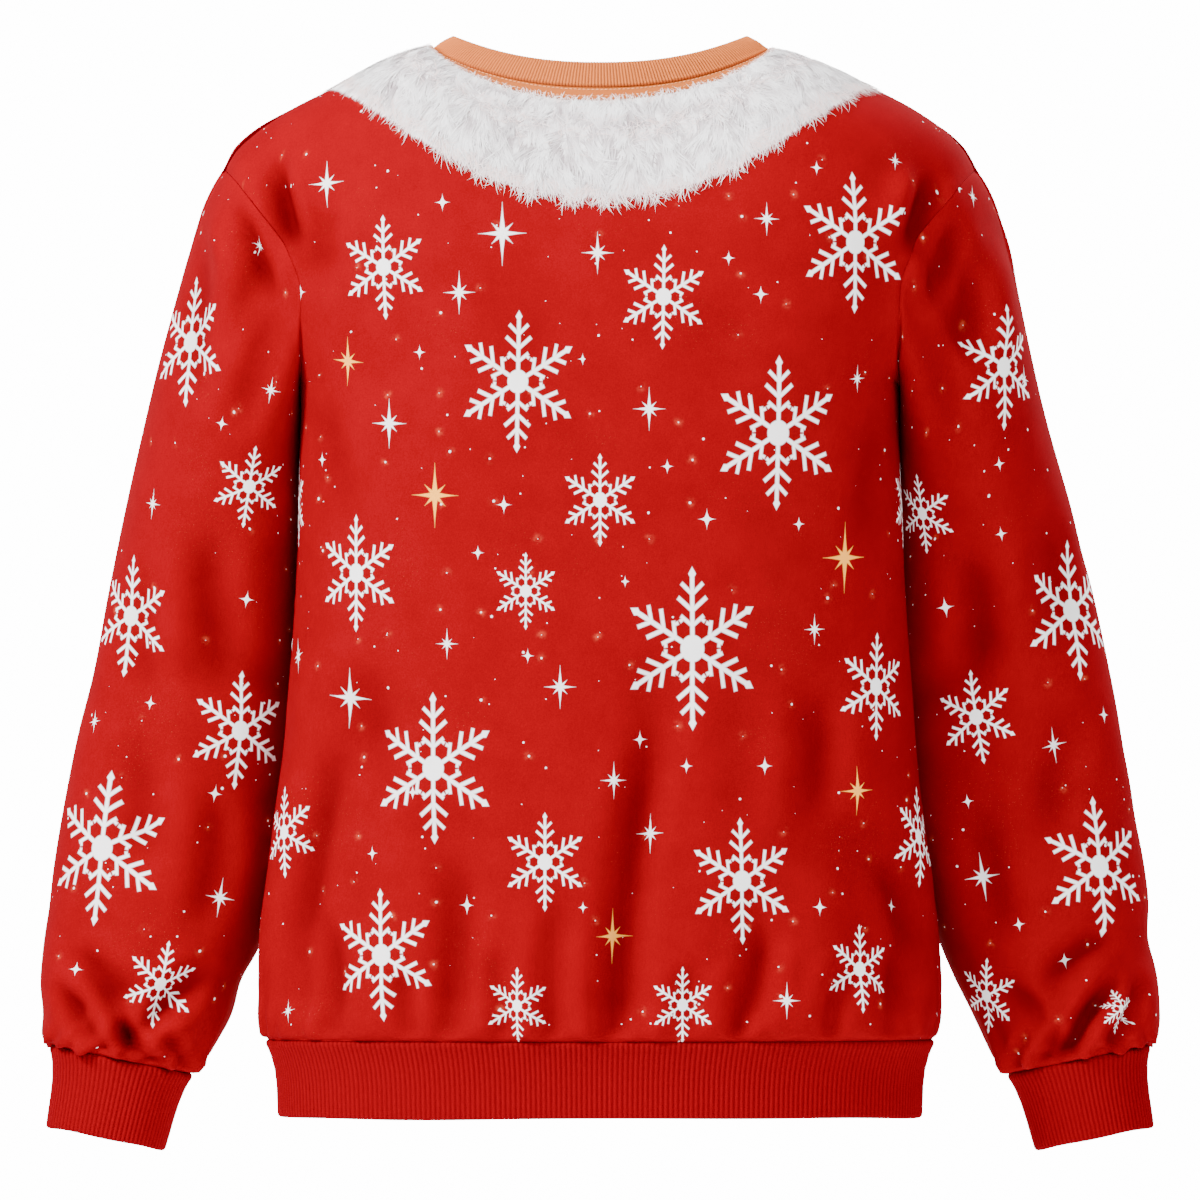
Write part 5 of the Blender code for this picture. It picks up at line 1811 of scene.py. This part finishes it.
def coverstitch(field, material):
    """Two lines of stitches round the neck, on the peach strip beside the rib."""
    parts = []
    for distance in COVERSTITCH_LINES:
        arcs = field.sideways(np.arange(FUR_TURNS) + 0.0, np.full(FUR_TURNS, distance))
        count = round(arcs.sum() / STITCH_PITCH)
        lengths = np.concatenate([[0], np.cumsum(arcs)])
        even = np.arange(count) * arcs.sum() / count
        where = np.interp(even, lengths, np.arange(FUR_TURNS + 1))
        reach = STITCH_LENGTH / STITCH_PITCH * FUR_TURNS / count
        flat = np.zeros(count)
        starts, normals = field.place(where, flat + distance, flat)
        ends, _ = field.place(where + reach, flat + distance, flat)
        parts.append((*spindles(starts, ends, normals, STITCH_RADIUS), np.zeros((0, 4))))
    points, faces, _ = joined(parts)
    made = add_mesh("neck_coverstitch", points, faces, [material])
    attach(made, BODY)
    return made


# The studio

FRAME_WIDTH = 0.7825  # at the middle of the depth; 0.78 near the cloth of the back
FRAME_MIDDLE_Z = -0.36075
CAMERA_AWAY = 16.0
SENSOR = 36.0
FLOOR_Z = -1.35
FLOOR_GLOW = 0.7  # a floor lit from below, as in a studio, so that it stays pale
FLOOR_SIDES = 96
FLOOR_RADII = (5.0, 700.0, 2500.0, 6000.0)
FLOOR_SHADES = ((0.90, 0.90, 0.90), (0.93, 0.93, 0.93))


def add_camera():
    """A long lens, which sees the back as flat as the photo does."""
    data = bpy.data.cameras.new("Camera")
    data.sensor_width = SENSOR
    data.lens = SENSOR * CAMERA_AWAY / FRAME_WIDTH
    data.clip_end = 100
    camera = link("Camera", data)
    camera.location = (0, -CAMERA_AWAY, FRAME_MIDDLE_Z)
    camera.rotation_euler = (math.pi / 2, 0, 0)
    bpy.context.scene.camera = camera


LIGHT_COLUMNS = ("name", "azimuth", "elevation", "distance", "size", "power")
LIGHTS = (
    ("Key", -56.0, 32.0, 2.6, 0.9, 160.0),
    ("Fill", 22.0, 20.0, 2.8, 1.4, 74.0),
    ("Top", 0.0, 72.0, 2.2, 1.4, 44.0),
    ("Front key", 140.0, 34.0, 2.6, 1.4, 130.0),
    ("Front fill", -135.0, 12.0, 2.8, 2.0, 50.0),
)


def add_lights():
    """Large soft panels round the garment: azimuth 0 is the camera's side."""
    target = Vector((0, 0, FRAME_MIDDLE_Z))
    for light in named(LIGHTS, LIGHT_COLUMNS):
        azimuth, elevation = math.radians(light["azimuth"]), math.radians(light["elevation"])
        level = math.cos(elevation)
        way = Vector((math.sin(azimuth) * level, -math.cos(azimuth) * level, math.sin(elevation)))
        data = bpy.data.lights.new(light["name"], "AREA")
        data.energy = light["power"]
        data.size = light["size"]
        made = link(light["name"], data)
        made.location = target + way * light["distance"]
        made.rotation_euler = (-way).to_track_quat("-Z", "Y").to_euler()


WORLD_LIGHT = 0.14
WORLD_SEEN = 15.0


def add_world():
    """An even white surround: bright to the camera, and a low light on the cloth."""
    world = bpy.data.worlds.new("Studio")
    world.use_nodes = True
    nodes = Nodes(world.node_tree)
    background = world.node_tree.nodes["Background"]
    background.inputs["Color"].default_value = (1.0, 1.0, 1.0, 1)
    seen = nodes.out(nodes.add("ShaderNodeLightPath"), "Is Camera Ray")
    nodes.put(background.inputs["Strength"], seen * (WORLD_SEEN - WORLD_LIGHT) + WORLD_LIGHT)
    bpy.context.scene.world = world


def add_floor():
    """A round pale floor well below the frame of the photographed view."""
    nodes = Material("Pale floor", 0.8, specular=0.1)
    nodes.shader.inputs["Emission Color"].default_value = (1, 1, 1, 1)
    nodes.shader.inputs["Emission Strength"].default_value = FLOOR_GLOW
    shade = nodes.mix(nodes.noise(nodes.space(), 3.0), *FLOOR_SHADES)
    nodes.put(nodes.shader.inputs["Base Color"], shade)
    turns = full_round(FLOOR_SIDES)
    ring = np.stack([np.cos(turns), np.sin(turns), 0 * turns], -1)
    rows = np.stack([ring * radius for radius in FLOOR_RADII])
    rows[..., 2] = FLOOR_Z / METRES
    quads = quads_of_grid(len(rows), FLOOR_SIDES, True)
    floor = add_mesh("Floor", rows.reshape(-1, 3), quads, [nodes.made])


def main():
    back, front = body_panel("back"), body_panel("front")
    sleeves = [sleeve(side, armhole_loop(back.grid, front.grid, side)) for side in SIDES]
    turns = full_round(4 * NECK_HALF_COLUMNS * COLUMNS_PER_SOLID_COLUMN)
    neck_grid = np.stack([neck_ring(turns, "seam"), neck_ring(turns, "edge")])
    cloths = [back, front] + sleeves
    share_normals(cloths + [Cloth("neck", neck_grid, True)])
    for panel in (back, front):
        panel.normals[0] = square_to(panel.normals[0], UPWARD)
    for side, tube in zip(SIDES, sleeves):
        tube.normals[-1] = square_to(tube.normals[-1], cuff_axis() * [SIDES[side], 1, 1])
    for cloth in cloths:
        open_seams(cloth)

    groups = {"flake": snowflake_group(), "star": star_group()}
    body_print = print_material("Printed fleece with trim", groups, True)
    sleeve_print = print_material("Printed fleece", groups, False)
    inside = inside_material()
    made = {}
    for cloth in cloths:
        made[cloth.name] = add_cloth(cloth, sleeve_print if cloth.closed else body_print, inside)
    for panel in (back, front):
        layer = trim_layer(panel)
        point_layer(made[panel.name].data, "trim", np.concatenate([layer, layer]))

    # The second colour of each rib is its painted shade in the grooves
    red_rib = rib_material("Red rib", RIB_RED, shaded(RIB_RED, 0.72))
    peach_rib = rib_material("Peach rib", PEACH, PEACH_DARK)
    hem = hem_band(red_rib)
    cuffs = [cuff_band(side, red_rib) for side in SIDES]
    neck_piece = neck_band(peach_rib)

    field = NeckField([back, front])
    fur = stroke_material()
    on_back = [fur_half(field, "back", fur)]
    on_front = [fur_half(field, "front", fur)]
    on_front.append(coverstitch(field, thread_material("Peach thread", THREAD_PEACH)))

    add_camera()
    add_lights()
    add_world()
    add_floor()


main()
